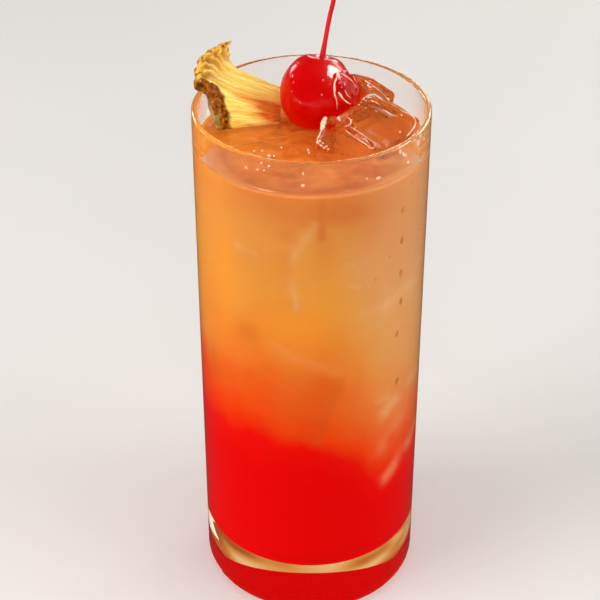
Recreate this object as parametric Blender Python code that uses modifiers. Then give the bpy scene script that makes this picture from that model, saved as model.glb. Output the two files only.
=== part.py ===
"""A sunrise cocktail in a heavy-based tall glass, with ice, a stemmed cherry and a dried pineapple wedge.

Metres, +Z up. The origin is the centre of the flat ring that the glass stands on. Azimuths are read from
above and the side that faces -Y is the front.
"""

import math

import bmesh
import bpy
from mathutils import Matrix, Vector, noise

MM = 0.001

# Glass
GLASS_RADIUS = 32.0 * MM
GLASS_HEIGHT = 156.0 * MM
WALL = 1.5 * MM
FLOOR_HEIGHT = 17.5 * MM
FLOOR_CORNER_RADIUS = 6.0 * MM
HEEL_RADIUS = 4.5 * MM
UNDERSIDE_RADIUS = 22.0 * MM
UNDERSIDE_RISE = 1.7 * MM
UNDERSIDE_STEPS = 5
TURN_STEPS = 56
ARC_STEPS = 6
TURN_MERGE = 0.01 * MM

# Drink
LEVEL = 146.0 * MM
MENISCUS_HEIGHT = 0.9 * MM
MENISCUS_WIDTH = 1.8 * MM
MENISCUS_KNEE_OUT = 0.6
MENISCUS_KNEE_UP = 0.25
GAP = 0.3 * MM
CUT_GAP = 0.45 * MM
LAYER_MIDDLE = 55.0 * MM
LAYER_SLOPE_X = -0.33
LAYER_SLOPE_Y = -0.12
LAYER_SWIRL = 1.6 * MM
LAYER_SWIRL_WAVELENGTH = 34.0 * MM
LAYER_SWIRL_SKEW = 0.6
CROSS_SWIRL = 0.5
CROSS_SWIRL_WAVELENGTH = 0.7 * LAYER_SWIRL_WAVELENGTH
CROSS_SWIRL_SKEW = -0.3
LAYER_STEPS = 12
LAYER_CUTTER_HALF_SIDE = 1.1 * GLASS_RADIUS

# Cherry and its stem
CHERRY_CENTRE = Vector((1.5, 12.8, 153.3)) * MM
CHERRY_RADIUS = 9.9 * MM
CHERRY_HALF_HEIGHT = 11.1 * MM
CHERRY_TILT_BACK = math.radians(16)
CHERRY_TILT_RIGHT = math.radians(9)
CHERRY_STEPS_AROUND = 28
CHERRY_STEPS_DOWN = 18
SEAM_DEPTH = 0.03
SEAM_WIDTH = 0.5
CHERRY_FLATTENING = 0.02
DIMPLE_DEPTH = 1.7 * MM
DIMPLE_RADIUS = 2.9 * MM
STEM_RADIUS = 0.72 * MM
STEM_LENGTH = 36.0 * MM
STEM_BEND = 6.5 * MM
STEM_BEND_RIGHT = 0.35
STEM_BEND_FRONT = 1.1
STEM_SPANS = 6
STEM_FOOT_SWELL = 0.35
STEM_FOOT_SHARE = 0.1
STEM_TIP_SWELL = 0.9
STEM_TIP_SHARE = 0.07

# Pineapple wedge: its rind runs up the arc and over the rim, and its flesh narrows to the tip.
# The high edge drops steeply from the arc's end and then runs on to the tip.
WEDGE_RIND_ARC = [
    Vector((-26.1, 5.4, 145.6)) * MM,
    Vector((-27.3, 5.6, 151.2)) * MM,
    Vector((-28.1, 6.0, 156.7)) * MM,
    Vector((-30.4, 7.6, 159.2)) * MM,
    Vector((-30.4, 11.5, 162.8)) * MM,
    Vector((-27.1, 15.9, 165.0)) * MM,
    Vector((-21.6, 20.6, 165.6)) * MM,
]
WEDGE_TIP_LOW = Vector((-8.8, 9.4, 145.0)) * MM
WEDGE_TIP_HIGH = Vector((-8.0, 19.2, 151.8)) * MM
WEDGE_HIGH_EDGE = [
    WEDGE_RIND_ARC[-1],
    Vector((-22.4, 19.8, 162.0)) * MM,
    Vector((-20.6, 19.0, 158.2)) * MM,
    Vector((-15.0, 18.8, 155.0)) * MM,
    WEDGE_TIP_HIGH,
]
WEDGE_SAG_RISE = 1.5
WEDGE_THICKNESS = 3.0 * MM
WEDGE_TAPER = 0.25
RIND_THICKNESS = 4.6 * MM
RIND_SHARE = 0.12
RIND_END = 0.85
WEDGE_RIPPLE = 0.45 * MM
WEDGE_RIPPLE_FADE = 0.6
WEDGE_WRINKLES = 5
WRINKLE_WANDER = 0.5
WRINKLE_WANDER_SCALE = Vector((3.0, 4.0, 0.0))
RIND_CRAG = 1.1 * MM
RIND_CRAG_SIZE = 2.4 * MM
EDGE_THINNING = 0.45
EDGE_THICKENING = 5.0
WEDGE_STEPS_ALONG = 24
WEDGE_STEPS_ACROSS = 22

# Ice: name, size, middle of the top face, turn about Z, lean towards the front, lean to the right
ICE_BLOCKS = [
    ("ice_front_right", (18.0, 17.0, 20.0), (18.0, 1.6, 151.9), -44, 10, 2),
    ("ice_back_right", (15.0, 12.0, 19.0), (14.9, 16.6, 153.9), -30, 3, 4),
    ("ice_front_middle", (15.0, 13.0, 18.0), (9.4, -4.6, 150.6), -14, 16, 2),
    ("ice_front_left", (20.0, 17.0, 18.0), (-13.0, -10.4, 146.6), 20, 2.5, -3),
]
ICE_ROUNDING = 2.0 * MM
ICE_MELT = 0.55 * MM
ICE_MELT_SCALE = 9.0 * MM
ICE_ROUNDING_STEPS = 2

SMOOTH_ANGLE = math.radians(40)
SAME_POINT = 0.005 * MM

# Materials: colour, roughness, transmission, index of refraction
LOOKS = {
    "clear_glass": ((0.95, 0.97, 0.96), 0.02, 1.0, 1.5),
    "red_layer": ((0.80, 0.01, 0.01), 0.25, 0.0, 1.45),
    "orange_layer": ((0.88, 0.30, 0.08), 0.25, 0.0, 1.45),
    "ice": ((0.93, 0.96, 0.98), 0.05, 1.0, 1.31),
    "cherry_red": ((0.75, 0.0, 0.005), 0.12, 0.0, 1.45),
    "stem_red": ((0.62, 0.01, 0.01), 0.2, 0.0, 1.45),
    "pineapple": ((0.90, 0.62, 0.16), 0.6, 0.0, 1.45),
}


def clear_scene():
    for item in list(bpy.data.objects):
        bpy.data.objects.remove(item)


def new_collection(name):
    collection = bpy.data.collections.new(name)
    bpy.context.scene.collection.children.link(collection)
    return collection


def material(name):
    colour, roughness, transmission, ior = LOOKS[name]
    made = bpy.data.materials.new(name)
    made.use_nodes = True
    shader = made.node_tree.nodes["Principled BSDF"]
    shader.inputs["Base Color"].default_value = (*colour, 1.0)
    shader.inputs["Roughness"].default_value = roughness
    shader.inputs["Metallic"].default_value = 0.0
    shader.inputs["Transmission Weight"].default_value = transmission
    shader.inputs["IOR"].default_value = ior
    return made


def mesh_object(name, bm, collection, look=None):
    mesh = bpy.data.meshes.new(name)
    bm.to_mesh(mesh)
    bm.free()
    made = bpy.data.objects.new(name, mesh)
    collection.objects.link(made)
    if look:
        mesh.materials.append(look)
        mesh.shade_smooth()
        mesh.set_sharp_from_angle(angle=SMOOTH_ANGLE)
    return made


def arc(centre_r, centre_z, radius, start, end):
    """Points of a circular arc in the (r, z) plane, angles in degrees from +r towards +z."""
    points = []
    for i in range(ARC_STEPS + 1):
        angle = math.radians(start + (end - start) * i / ARC_STEPS)
        points.append((centre_r + radius * math.cos(angle), centre_z + radius * math.sin(angle)))
    return points


def turned(name, profile, collection, look):
    """A solid of revolution: profile holds (r, z) points that end on the axis and run down the outer side."""
    bm = bmesh.new()
    corners = [bm.verts.new((r, 0.0, z)) for r, z in profile]
    for a, b in zip(corners, corners[1:]):
        bm.edges.new((a, b))
    made = mesh_object(name, bm, collection, look)
    screw = made.modifiers.new("Turn", "SCREW")
    screw.axis = "Z"
    screw.steps = TURN_STEPS
    screw.render_steps = TURN_STEPS
    screw.use_merge_vertices = True
    screw.merge_threshold = TURN_MERGE
    screw.use_smooth_shade = True
    return made


def evaluated_mesh(source):
    graph = bpy.context.evaluated_depsgraph_get()
    mesh = bpy.data.meshes.new_from_object(source.evaluated_get(graph))
    mesh.transform(source.matrix_world)
    return mesh


def as_cutter(made):
    made.hide_render = True
    made.display_type = "WIRE"
    return made


def grown_cutter(source, distance, collection):
    """A copy of a finished piece, larger by distance all round, to cut its neighbours with."""
    mesh = evaluated_mesh(source)
    bm = bmesh.new()
    bm.from_mesh(mesh)
    bmesh.ops.remove_doubles(bm, verts=bm.verts, dist=SAME_POINT)
    bm.normal_update()
    moved = [(v, v.normal * distance) for v in bm.verts]
    for v, step in moved:
        v.co += step
    bpy.data.meshes.remove(mesh)
    return as_cutter(mesh_object(source.name + "_space", bm, collection))


def cut(target, cutter, operation="DIFFERENCE", solver="EXACT"):
    boolean = target.modifiers.new("Cut " + cutter.name, "BOOLEAN")
    boolean.operation = operation
    boolean.solver = solver
    boolean.object = cutter
    return target


def make_glass(collection):
    """A straight glass with a heavy base, slightly hollow underneath within a flat standing ring."""
    inner = GLASS_RADIUS - WALL
    corner = FLOOR_CORNER_RADIUS
    profile = [(0.0, FLOOR_HEIGHT)]
    profile += arc(inner - corner, FLOOR_HEIGHT + corner, corner, -90, 0)
    profile += arc(inner + WALL / 2, GLASS_HEIGHT - WALL / 2, WALL / 2, 180, 0)
    profile += arc(GLASS_RADIUS - HEEL_RADIUS, HEEL_RADIUS, HEEL_RADIUS, 0, -90)
    for i in range(UNDERSIDE_STEPS + 1):
        share = 1 - i / UNDERSIDE_STEPS
        profile.append((UNDERSIDE_RADIUS * share, UNDERSIDE_RISE * (1 - share**2)))
    return turned("glass", profile, collection, material("clear_glass"))


def drink_profile():
    wall = GLASS_RADIUS - WALL - GAP
    corner = FLOOR_CORNER_RADIUS - GAP
    bottom = FLOOR_HEIGHT + GAP
    meniscus_foot = wall - MENISCUS_WIDTH
    profile = [(0.0, LEVEL), (meniscus_foot, LEVEL)]
    knee = (meniscus_foot + MENISCUS_WIDTH * MENISCUS_KNEE_OUT, LEVEL + MENISCUS_HEIGHT * MENISCUS_KNEE_UP)
    profile += [knee, (wall, LEVEL + MENISCUS_HEIGHT)]
    profile += arc(wall - corner, bottom + corner, corner, 0, -90)
    profile.append((0.0, bottom))
    return profile


def layer_height(x, y):
    """Height of the wavy, sloping meeting line between the red and the orange layer."""
    swirl = math.sin(2 * math.pi * (x + LAYER_SWIRL_SKEW * y) / LAYER_SWIRL_WAVELENGTH)
    swirl += CROSS_SWIRL * math.sin(2 * math.pi * (y + CROSS_SWIRL_SKEW * x) / CROSS_SWIRL_WAVELENGTH)
    return LAYER_MIDDLE + LAYER_SLOPE_X * x + LAYER_SLOPE_Y * y + LAYER_SWIRL * swirl


def layer_cutter(name, lift, collection):
    """Everything below the layers' meeting surface, which is raised by lift."""
    bm = bmesh.new()
    bmesh.ops.create_grid(bm, x_segments=LAYER_STEPS, y_segments=LAYER_STEPS, size=LAYER_CUTTER_HALF_SIDE)
    for v in bm.verts:
        v.co.z = layer_height(v.co.x, v.co.y) + lift
    bmesh.ops.triangulate(bm, faces=bm.faces, quad_method="FIXED")
    lower = bmesh.ops.extrude_face_region(bm, geom=list(bm.faces))
    for item in lower["geom"]:
        if isinstance(item, bmesh.types.BMVert):
            item.co.z = -LAYER_MIDDLE
    bmesh.ops.recalc_face_normals(bm, faces=bm.faces)
    return as_cutter(mesh_object(name, bm, collection))


def make_drink(collection, cutters, garnish_spaces):
    lower = turned("drink_red_layer", drink_profile(), collection, material("red_layer"))
    cut(lower, layer_cutter("below_layer_line", -GAP / 2, cutters), "INTERSECT")
    upper = turned("drink_orange_layer", drink_profile(), collection, material("orange_layer"))
    cut(upper, layer_cutter("above_layer_line", GAP / 2, cutters))
    for space in garnish_spaces:
        # The spaces overlap each other, where the exact solver loses the whole body
        cut(upper, space, solver="MANIFOLD")
    return lower, upper


def make_ice_block(name, size, top_middle, turn, lean_front, lean_right, collection, look):
    """A melting block: a bevelled box with uneven faces, hung from the middle of its top face."""
    bm = bmesh.new()
    bmesh.ops.create_cube(bm, size=1.0)
    for v in bm.verts:
        v.co = Vector((v.co.x * size[0], v.co.y * size[1], (v.co.z - 0.5) * size[2])) * MM
    made = mesh_object(name, bm, collection, look)
    bevel = made.modifiers.new("Melted edges", "BEVEL")
    bevel.width = ICE_ROUNDING
    bevel.segments = ICE_ROUNDING_STEPS
    finer = made.modifiers.new("Finer", "SUBSURF")
    finer.subdivision_type = "SIMPLE"
    finer.levels = 1
    finer.render_levels = 1
    clouds = bpy.data.textures.new(name + "_melt", "CLOUDS")
    clouds.noise_scale = ICE_MELT_SCALE
    melt = made.modifiers.new("Uneven faces", "DISPLACE")
    melt.texture = clouds
    melt.texture_coords = "GLOBAL"
    melt.strength = ICE_MELT
    turned_about_z = Matrix.Rotation(math.radians(turn), 4, "Z")
    leaned = Matrix.Rotation(math.radians(lean_front), 4, "X")
    leaned = leaned @ Matrix.Rotation(math.radians(lean_right), 4, "Y")
    place = Matrix.Translation(Vector(top_middle) * MM)
    made.matrix_world = place @ leaned @ turned_about_z
    bpy.context.view_layer.update()
    return made


def cherry_axis():
    """The tilted frame of the cherry: its stem leaves along +Z of this matrix."""
    back = Matrix.Rotation(-CHERRY_TILT_BACK, 4, "X")
    right = Matrix.Rotation(CHERRY_TILT_RIGHT, 4, "Y")
    return Matrix.Translation(CHERRY_CENTRE) @ right @ back


def make_cherry(collection):
    bm = bmesh.new()
    bmesh.ops.create_uvsphere(
        bm, u_segments=CHERRY_STEPS_AROUND, v_segments=CHERRY_STEPS_DOWN, radius=1.0
    )
    for v in bm.verts:
        around = math.atan2(v.co.y, v.co.x)
        seam = 1.0 - SEAM_DEPTH * math.exp(-((around / SEAM_WIDTH) ** 2))
        flat = 1.0 + CHERRY_FLATTENING * math.cos(2 * around)
        out = math.hypot(v.co.x, v.co.y) * CHERRY_RADIUS
        v.co.x *= CHERRY_RADIUS * seam * flat
        v.co.y *= CHERRY_RADIUS * seam
        height = v.co.z * CHERRY_HALF_HEIGHT
        if height > 0:
            height -= DIMPLE_DEPTH * math.exp(-((out / DIMPLE_RADIUS) ** 2))
        v.co.z = height
    made = mesh_object("cherry", bm, collection, material("cherry_red"))
    made.matrix_world = cherry_axis()
    bpy.context.view_layer.update()
    return made


def make_stem(collection):
    """A thin curved stem that stands in the cherry's dimple and thickens at both ends."""
    foot = CHERRY_HALF_HEIGHT - DIMPLE_DEPTH + GAP
    curve = bpy.data.curves.new("cherry_stem", "CURVE")
    curve.dimensions = "3D"
    curve.resolution_u = 3
    curve.bevel_depth = STEM_RADIUS
    curve.bevel_resolution = 2
    curve.use_fill_caps = True
    spline = curve.splines.new("NURBS")
    spline.points.add(STEM_SPANS)
    spline.order_u = 4
    spline.use_endpoint_u = True
    for i, point in enumerate(spline.points):
        along = i / STEM_SPANS
        bend = STEM_BEND * along**2
        point.co = (STEM_BEND_RIGHT * bend, -STEM_BEND_FRONT * bend, foot + STEM_LENGTH * along, 1.0)
        foot_swell = STEM_FOOT_SWELL * math.exp(-((along / STEM_FOOT_SHARE) ** 2))
        tip_swell = STEM_TIP_SWELL * math.exp(-(((1 - along) / STEM_TIP_SHARE) ** 2))
        point.radius = 1.0 + foot_swell + tip_swell
    curve.materials.append(material("stem_red"))
    made = bpy.data.objects.new("cherry_stem", curve)
    collection.objects.link(made)
    made.matrix_world = cherry_axis()
    return made


def along_points(points, share):
    """A smooth (Catmull-Rom) point on a list of points, at share 0 to 1."""
    place = share * (len(points) - 1)
    i = min(int(place), len(points) - 2)
    t = place - i
    p1, p2 = points[i], points[i + 1]
    p0 = points[i - 1] if i > 0 else p1 * 2 - p2
    p3 = points[i + 2] if i + 2 < len(points) else p2 * 2 - p1
    curved = (p1 * 2) + (p2 - p0) * t
    curved += (p0 * 2 - p1 * 5 + p2 * 4 - p3) * t**2
    curved += (p1 * 3 - p0 - p2 * 3 + p3) * t**3
    return curved / 2


def wedge_point(u, v):
    """Middle surface of the wedge: u runs from rind to tip, v from the low edge to the high edge."""
    rind = along_points(WEDGE_RIND_ARC, v)
    tip = WEDGE_TIP_LOW.lerp(WEDGE_TIP_HIGH, v)
    straight = WEDGE_RIND_ARC[-1].lerp(WEDGE_TIP_HIGH, u)
    sag = along_points(WEDGE_HIGH_EDGE, u) - straight
    return rind.lerp(tip, u) + sag * v**WEDGE_SAG_RISE


def make_wedge(collection):
    """A dried, curled slice with radial wrinkles in the flesh and a thick, craggy rind."""
    bm = bmesh.new()
    bmesh.ops.create_grid(bm, x_segments=WEDGE_STEPS_ALONG, y_segments=WEDGE_STEPS_ACROSS, size=0.5)
    shares = [(v, v.co.x + 0.5, v.co.y + 0.5) for v in bm.verts]
    faces = list(bm.faces)
    for v, along, across in shares:
        v.co = wedge_point(along, across)
    bmesh.ops.recalc_face_normals(bm, faces=faces)
    if sum((f.normal for f in faces), Vector()).y > 0:
        bmesh.ops.reverse_faces(bm, faces=faces)
    bm.normal_update()
    normals = [v.normal.copy() for v in bm.verts]
    back_of = {}
    for (v, along, across), normal in zip(shares, normals):
        near_rind = math.exp(-((along / RIND_SHARE) ** 2))
        wander = WRINKLE_WANDER * noise.noise(Vector((along, across, 0)) * WRINKLE_WANDER_SCALE)
        wrinkle = math.sin(2 * math.pi * (WEDGE_WRINKLES * across + wander))
        ripple = WEDGE_RIPPLE * wrinkle * (1 - WEDGE_RIPPLE_FADE * along)
        crag = RIND_CRAG * near_rind * noise.noise(v.co / RIND_CRAG_SIZE)
        swell = near_rind * max(0.0, 1 - (across / RIND_END) ** 2)
        thick = WEDGE_THICKNESS * (1 - WEDGE_TAPER * along) + (RIND_THICKNESS - WEDGE_THICKNESS) * swell
        thick *= min(1.0, EDGE_THINNING + EDGE_THICKENING * min(across, 1 - across, 1 - along))
        middle = v.co + normal * ripple
        v.co = middle + normal * (thick / 2 + crag)
        back_of[v] = middle - normal * (thick / 2 - crag)
    made = bmesh.ops.extrude_face_region(bm, geom=faces)
    back_of = {tuple(front.co): place for front, place in back_of.items()}
    for item in made["geom"]:
        if isinstance(item, bmesh.types.BMVert):
            item.co = back_of[tuple(item.co)]
    bmesh.ops.recalc_face_normals(bm, faces=bm.faces)
    return mesh_object("pineapple_wedge", bm, collection, material("pineapple"))


def main():
    clear_scene()
    parts = new_collection("cocktail")
    cutters = new_collection("cutters")
    make_glass(parts)
    ice_look = material("ice")
    cherry = make_cherry(parts)
    make_stem(parts)
    wedge = make_wedge(parts)
    bpy.context.view_layer.update()
    spaces = [grown_cutter(piece, CUT_GAP, cutters) for piece in (cherry, wedge)]
    for name, *placing in ICE_BLOCKS:
        block = make_ice_block(name, *placing, parts, ice_look)
        earlier = list(spaces)
        spaces.append(grown_cutter(block, CUT_GAP, cutters))
        for space in earlier:
            cut(block, space)
    make_drink(parts, cutters, spaces)


main()
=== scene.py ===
import math

import bmesh
import bpy
import numpy as np
from mathutils import Matrix, Vector, noise
from mathutils.bvhtree import BVHTree


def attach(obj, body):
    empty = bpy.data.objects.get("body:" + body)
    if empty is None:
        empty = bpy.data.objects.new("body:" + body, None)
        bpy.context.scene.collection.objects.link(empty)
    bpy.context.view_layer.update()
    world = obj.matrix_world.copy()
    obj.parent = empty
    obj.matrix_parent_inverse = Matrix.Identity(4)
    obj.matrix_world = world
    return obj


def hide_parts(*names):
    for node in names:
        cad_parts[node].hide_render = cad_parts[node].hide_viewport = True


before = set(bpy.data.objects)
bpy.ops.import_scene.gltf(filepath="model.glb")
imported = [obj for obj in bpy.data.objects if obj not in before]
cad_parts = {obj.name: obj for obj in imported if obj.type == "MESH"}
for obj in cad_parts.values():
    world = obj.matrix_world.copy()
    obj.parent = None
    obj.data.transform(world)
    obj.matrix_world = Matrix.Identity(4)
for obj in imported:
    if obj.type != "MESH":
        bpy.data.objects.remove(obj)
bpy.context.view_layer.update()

MM = 0.001
BODY = "root"


def mm(x, y, z):
    """A place that is given in mm, in metres."""
    return Vector((x, y, z)) * MM


def noise_at(x, y, z):
    return noise.noise(Vector((x, y, z)))


def waves_at(place, waves):
    """The sum of noises at a place, each given by its height and its size."""
    return sum(height * noise.noise(place / size) for height, size in waves)


def bell(value, width):
    """1 at zero, falling smoothly to almost nothing at twice the width."""
    return math.exp(-((value / width) ** 2))


# Glass and drink, as in the frame
GLASS_RADIUS = 32.0 * MM
GLASS_HEIGHT = 156.0 * MM
WALL = 1.5 * MM
FLOOR_HEIGHT = 17.5 * MM
FLOOR_CORNER_RADIUS = 6.0 * MM
HEEL_RADIUS = 4.5 * MM
UNDERSIDE_RADIUS = 22.0 * MM
UNDERSIDE_RISE = 1.7 * MM
LEVEL = 146.0 * MM
TURN_STEPS = 240
UNDERSIDE_STEPS = 24
FLOOR_STEPS = 6
ROUND_STEPS = 14
GLASS_WALL_STEPS = 10
GLASS_CORNER_STEPS = 16
# How far the drink's clear skin reaches into the wall, and the juice inside it a little further
OVERLAP = 0.15 * MM
JUICE_OVERLAP = 1.6 * OVERLAP

# Cherry, stem and wedge, as in the frame
CHERRY_CENTRE = mm(1.5, 12.8, 153.3)
CHERRY_RADIUS = 9.9 * MM
CHERRY_HALF_HEIGHT = 11.1 * MM
CHERRY_TILT_BACK = math.radians(16)
CHERRY_TILT_RIGHT = math.radians(9)
CHERRY_COLUMNS = 128
CHERRY_ROWS = 96
SEAM_DEPTH = 0.03
SEAM_WIDTH = 0.5
CHERRY_FLATNESS = 0.02
CHERRY_WRINKLES = [(0.10 * MM, 1 / 3.2), (0.03 * MM, 1 / 9)]
WRINKLE_SINK = 0.06 * MM
DIMPLE_DEPTH = 1.7 * MM
DIMPLE_RADIUS = 2.9 * MM
STEM_RADIUS = 0.72 * MM
STEM_LENGTH = 36.0 * MM
STEM_BEND = 6.5 * MM
STEM_SINK = 0.4 * MM
STEM_FOOT_SWELL = 0.35
STEM_END_SWELL = 0.75
STEM_WOBBLE = 0.25 * MM
STEM_STEPS = 90
STEM_SIDES = 20

WEDGE_RIND_ARC = [
    mm(-26.1, 5.4, 145.6), mm(-27.3, 5.6, 151.2), mm(-28.1, 6.0, 156.7), mm(-30.4, 7.6, 159.2),
    mm(-30.4, 11.5, 162.8), mm(-27.1, 15.9, 165.0), mm(-21.6, 20.6, 165.6),
]
WEDGE_TIP_LOW = mm(-8.8, 9.4, 145.0)
WEDGE_TIP_HIGH = mm(-8.0, 19.2, 151.8)
WEDGE_HIGH_EDGE = [
    WEDGE_RIND_ARC[-1], mm(-22.4, 19.8, 162.0), mm(-20.6, 19.0, 158.2), mm(-15.0, 18.8, 155.0),
    WEDGE_TIP_HIGH,
]
WEDGE_SAG_RISE = 1.5
WEDGE_THICKNESS = 2.4 * MM
WEDGE_TAPER = 0.25
RIND_THICKNESS = 4.4 * MM
RIND_SHARE = 0.14
RIND_END = 0.85
WEDGE_COLUMNS = 180
WEDGE_ROWS = 170

# Camera, fitted to the rim, the wall and the base
CAMERA_PLACE = mm(-3.05, -379.92, 349.38)
CAMERA_PITCH = math.radians(90 - 33.95)
CAMERA_LENS = 95.57
CAMERA_SENSOR = 36.0


def linear(colour):
    """The linear colour that shaders take. Three numbers, 0 to 255, are a display colour."""
    if len(colour) == 4:
        return colour
    shares = [value / 255 for value in colour]
    return [v / 12.92 if v <= 0.04045 else ((v + 0.055) / 1.055) ** 2.4 for v in shares] + [1.0]


class Look:
    """One procedural material: a Principled shader and the nodes that feed it."""

    def __init__(self, name):
        self.material = bpy.data.materials.new(name)
        self.material.use_nodes = True
        self.tree = self.material.node_tree
        self.shader = self.tree.nodes["Principled BSDF"]
        self.out = self.tree.nodes["Material Output"]
        self.place = self.node("TexCoord").outputs["Object"]

    def node(self, kind, inputs=None, **settings):
        made = self.tree.nodes.new("ShaderNode" + kind)
        for key, value in settings.items():
            setattr(made, key, value)
        for key, value in (inputs or {}).items():
            self.feed(made.inputs[key], value)
        return made

    def feed(self, socket, value):
        if isinstance(value, bpy.types.NodeSocket):
            self.tree.links.new(value, socket)
        else:
            socket.default_value = linear(value) if socket.type == "RGBA" else value

    def set(self, **sockets):
        for key, value in sockets.items():
            self.feed(self.shader.inputs[key.replace("_", " ")], value)

    def maths(self, operation, *values):
        return self.node("Math", dict(enumerate(values)), operation=operation).outputs[0]

    def plus(self, first, second):
        return self.maths("ADD", first, second)

    def times(self, first, second):
        return self.maths("MULTIPLY", first, second)

    def stretched(self, scale, vector=None):
        return self.node("Mapping", {"Vector": vector or self.place, "Scale": scale}).outputs[0]

    def noise(self, size, detail=2.0, roughness=0.5, vector=None):
        inputs = {"Vector": vector or self.place, "Scale": 1 / size, "Detail": detail, "Roughness": roughness}
        return self.node("TexNoise", inputs).outputs["Fac"]

    def drift(self, size, reach):
        """A vector that wanders, at most reach to each side, to bend other patterns."""
        inputs = {"Vector": self.place, "Scale": 1 / size, "Detail": 1.0}
        inputs = {0: self.node("TexNoise", inputs).outputs["Color"], 1: (0.5, 0.5, 0.5)}
        centred = self.node("VectorMath", inputs, operation="SUBTRACT").outputs[0]
        inputs = {"Vector": centred, "Scale": 2 * reach}
        return self.node("VectorMath", inputs, operation="SCALE").outputs[0]

    def remap(self, value, low, high, to_low=0.0, to_high=1.0, smooth=True):
        inputs = {"Value": value, "From Min": low, "From Max": high, "To Min": to_low, "To Max": to_high}
        kind = "SMOOTHSTEP" if smooth else "LINEAR"
        return self.node("MapRange", inputs, interpolation_type=kind).outputs[0]

    def mix(self, share, first, second):
        return self.node("Mix", {0: share, 6: first, 7: second}, data_type="RGBA").outputs[2]

    def ramp(self, value, stops):
        made = self.node("ValToRGB", {"Fac": value})
        points = made.color_ramp.elements
        while len(points) < len(stops):
            points.new(0.5)
        for point, (position, colour) in zip(points, stops):
            point.position = position
            point.color = linear(colour)
        return made.outputs["Color"]

    def attribute(self, name):
        return self.node("Attribute", attribute_name=name).outputs["Fac"]

    def marked(self, colour, marks):
        """The colour, with each mark's own colour mixed in by the attribute of its name."""
        for name, tint in marks:
            colour = self.mix(self.attribute(name), colour, tint)
        return colour

    def bump(self, height, distance, strength=1.0):
        inputs = {"Height": height, "Distance": distance, "Strength": strength}
        self.set(Normal=self.node("Bump", inputs).outputs["Normal"])

    def let_lamps_through(self, colour):
        """Shadow rays pass, tinted, so that lamps reach what is inside."""
        clear = self.node("BsdfTransparent", {"Color": colour}).outputs[0]
        shadow = self.node("LightPath").outputs["Is Shadow Ray"]
        both = self.node("MixShader", {0: shadow, 1: self.shader.outputs[0], 2: clear})
        self.feed(self.out.inputs["Surface"], both.outputs[0])


class Surround(Look):
    """The world's own nodes, where directions take the place of positions."""

    def __init__(self, name):
        self.world = bpy.data.worlds.new(name)
        self.world.use_nodes = True
        self.tree = self.world.node_tree
        self.shader = self.tree.nodes["Background"]
        self.place = self.node("TexCoord").outputs["Generated"]


def glass_look():
    look = Look("clear_glass")
    look.set(Base_Color=(0.985, 0.995, 0.99, 1.0), Roughness=0.0, IOR=1.5)
    look.set(Transmission_Weight=1.0)
    smear = look.noise(14 * MM, detail=3.0)
    look.bump(smear, 0.02 * MM, 0.3)
    look.let_lamps_through((0.97, 0.98, 0.975, 1.0))
    return look.material


# How much each material bends light. The sunk block is almost wholly in the drink, and hardly bends it.
DRINK_INDEX = 1.33
ICE_INDEX = 1.31
SUNK_INDEX = 1.06
SKIN_TINT = (1.0, 0.955, 0.90, 1.0)


def skin_look():
    """The drink's clear outer skin, with a faint swell."""
    look = Look("drink_clear_skin")
    look.set(Base_Color=SKIN_TINT, Roughness=0.0, IOR=DRINK_INDEX, Transmission_Weight=1.0)
    swell = look.plus(look.noise(7 * MM, detail=2.0), look.times(look.noise(2.2 * MM), 0.3))
    look.bump(swell, 0.14 * MM, 0.5)
    look.let_lamps_through(SKIN_TINT)
    return look.material


def ice_look(name, index, tint, shadow):
    """Clear ice with frosted patches and milky patches that are partly painted highlight, tinted red near the
    cherry as a painted reflection of it, and tinted dark in its groove as a painted dark reflection.
    """
    look = Look(name)
    # Painted reflections: red near the cherry, and dark in the groove
    colour = look.marked(tint, [("syrup", (0.90, 0.02, 0.015, 1.0)), ("shade", (0.58, 0.32, 0.27, 1.0))])
    wisps = look.remap(look.noise(1.6 * MM, detail=4.0, roughness=0.6), 0.36, 0.62)
    milk = look.times(look.attribute("milk"), wisps)
    look.set(Base_Color=look.mix(milk, colour, (255, 214, 176)), IOR=index)
    look.set(Transmission_Weight=look.remap(milk, 0.0, 1.0, 1.0, 0.4, smooth=False))
    frost = look.noise(3.2 * MM, detail=5.0, roughness=0.6)
    look.set(Roughness=look.remap(frost, 0.64, 0.8, 0.0, 0.14))
    waves = look.plus(look.noise(3.6 * MM, detail=3.0), look.noise(0.9 * MM, detail=2.0))
    look.bump(waves, 0.18 * MM, 0.6)
    look.let_lamps_through(shadow)
    return look.material


def painted_glint_look():
    """Painted glints: pale slivers on the ice's edges and in its cracks that stand in for highlights."""
    look = Look("ice_painted_glints")
    grain = look.noise(0.8 * MM, detail=4.0)
    look.set(Base_Color=look.ramp(grain, [(0.35, (238, 186, 146)), (0.6, (255, 238, 216))]))
    look.set(Roughness=0.3, IOR=ICE_INDEX, Transmission_Weight=0.25)
    look.bump(grain, 0.1 * MM, 0.6)
    look.let_lamps_through((0.95, 0.9, 0.85, 1.0))
    return look.material


# Heights over the red layer's upper edge, in mm, and the colours seen there
LAYER_COLOURS = [
    (-10, (236, 0, 0)), (0, (240, 10, 1)), (8, (243, 62, 4)), (20, (238, 98, 26)), (36, (238, 138, 46)),
    (52, (236, 156, 62)), (70, (229, 149, 70)), (84, (222, 131, 62)),
]
SURFACE_COLOURS = [
    (0.34, (212, 104, 34)), (0.48, (226, 124, 46)), (0.60, (234, 138, 58)), (0.74, (240, 158, 80)),
]
# Colours of the marks on the juice's wall, by the name of the mark; the pale and dark marks are partly
# painted light and shade
WALL_TINTS = [("amber", (250, 156, 44)), ("dark", (206, 92, 30)), ("pale", (240, 184, 132))]
# The painted glow just over the glass's floor, which stands in for light coming in through the base
PAINTED_FLOOR_GLOW = 0.45
# Height of the red layer's upper edge on the left and on the right, and its rise at the far left
LAYER_EDGE_LEFT = 63.0 * MM
LAYER_EDGE_RIGHT = 45.5 * MM
LAYER_EDGE_LIFT = 4.0 * MM


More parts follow.
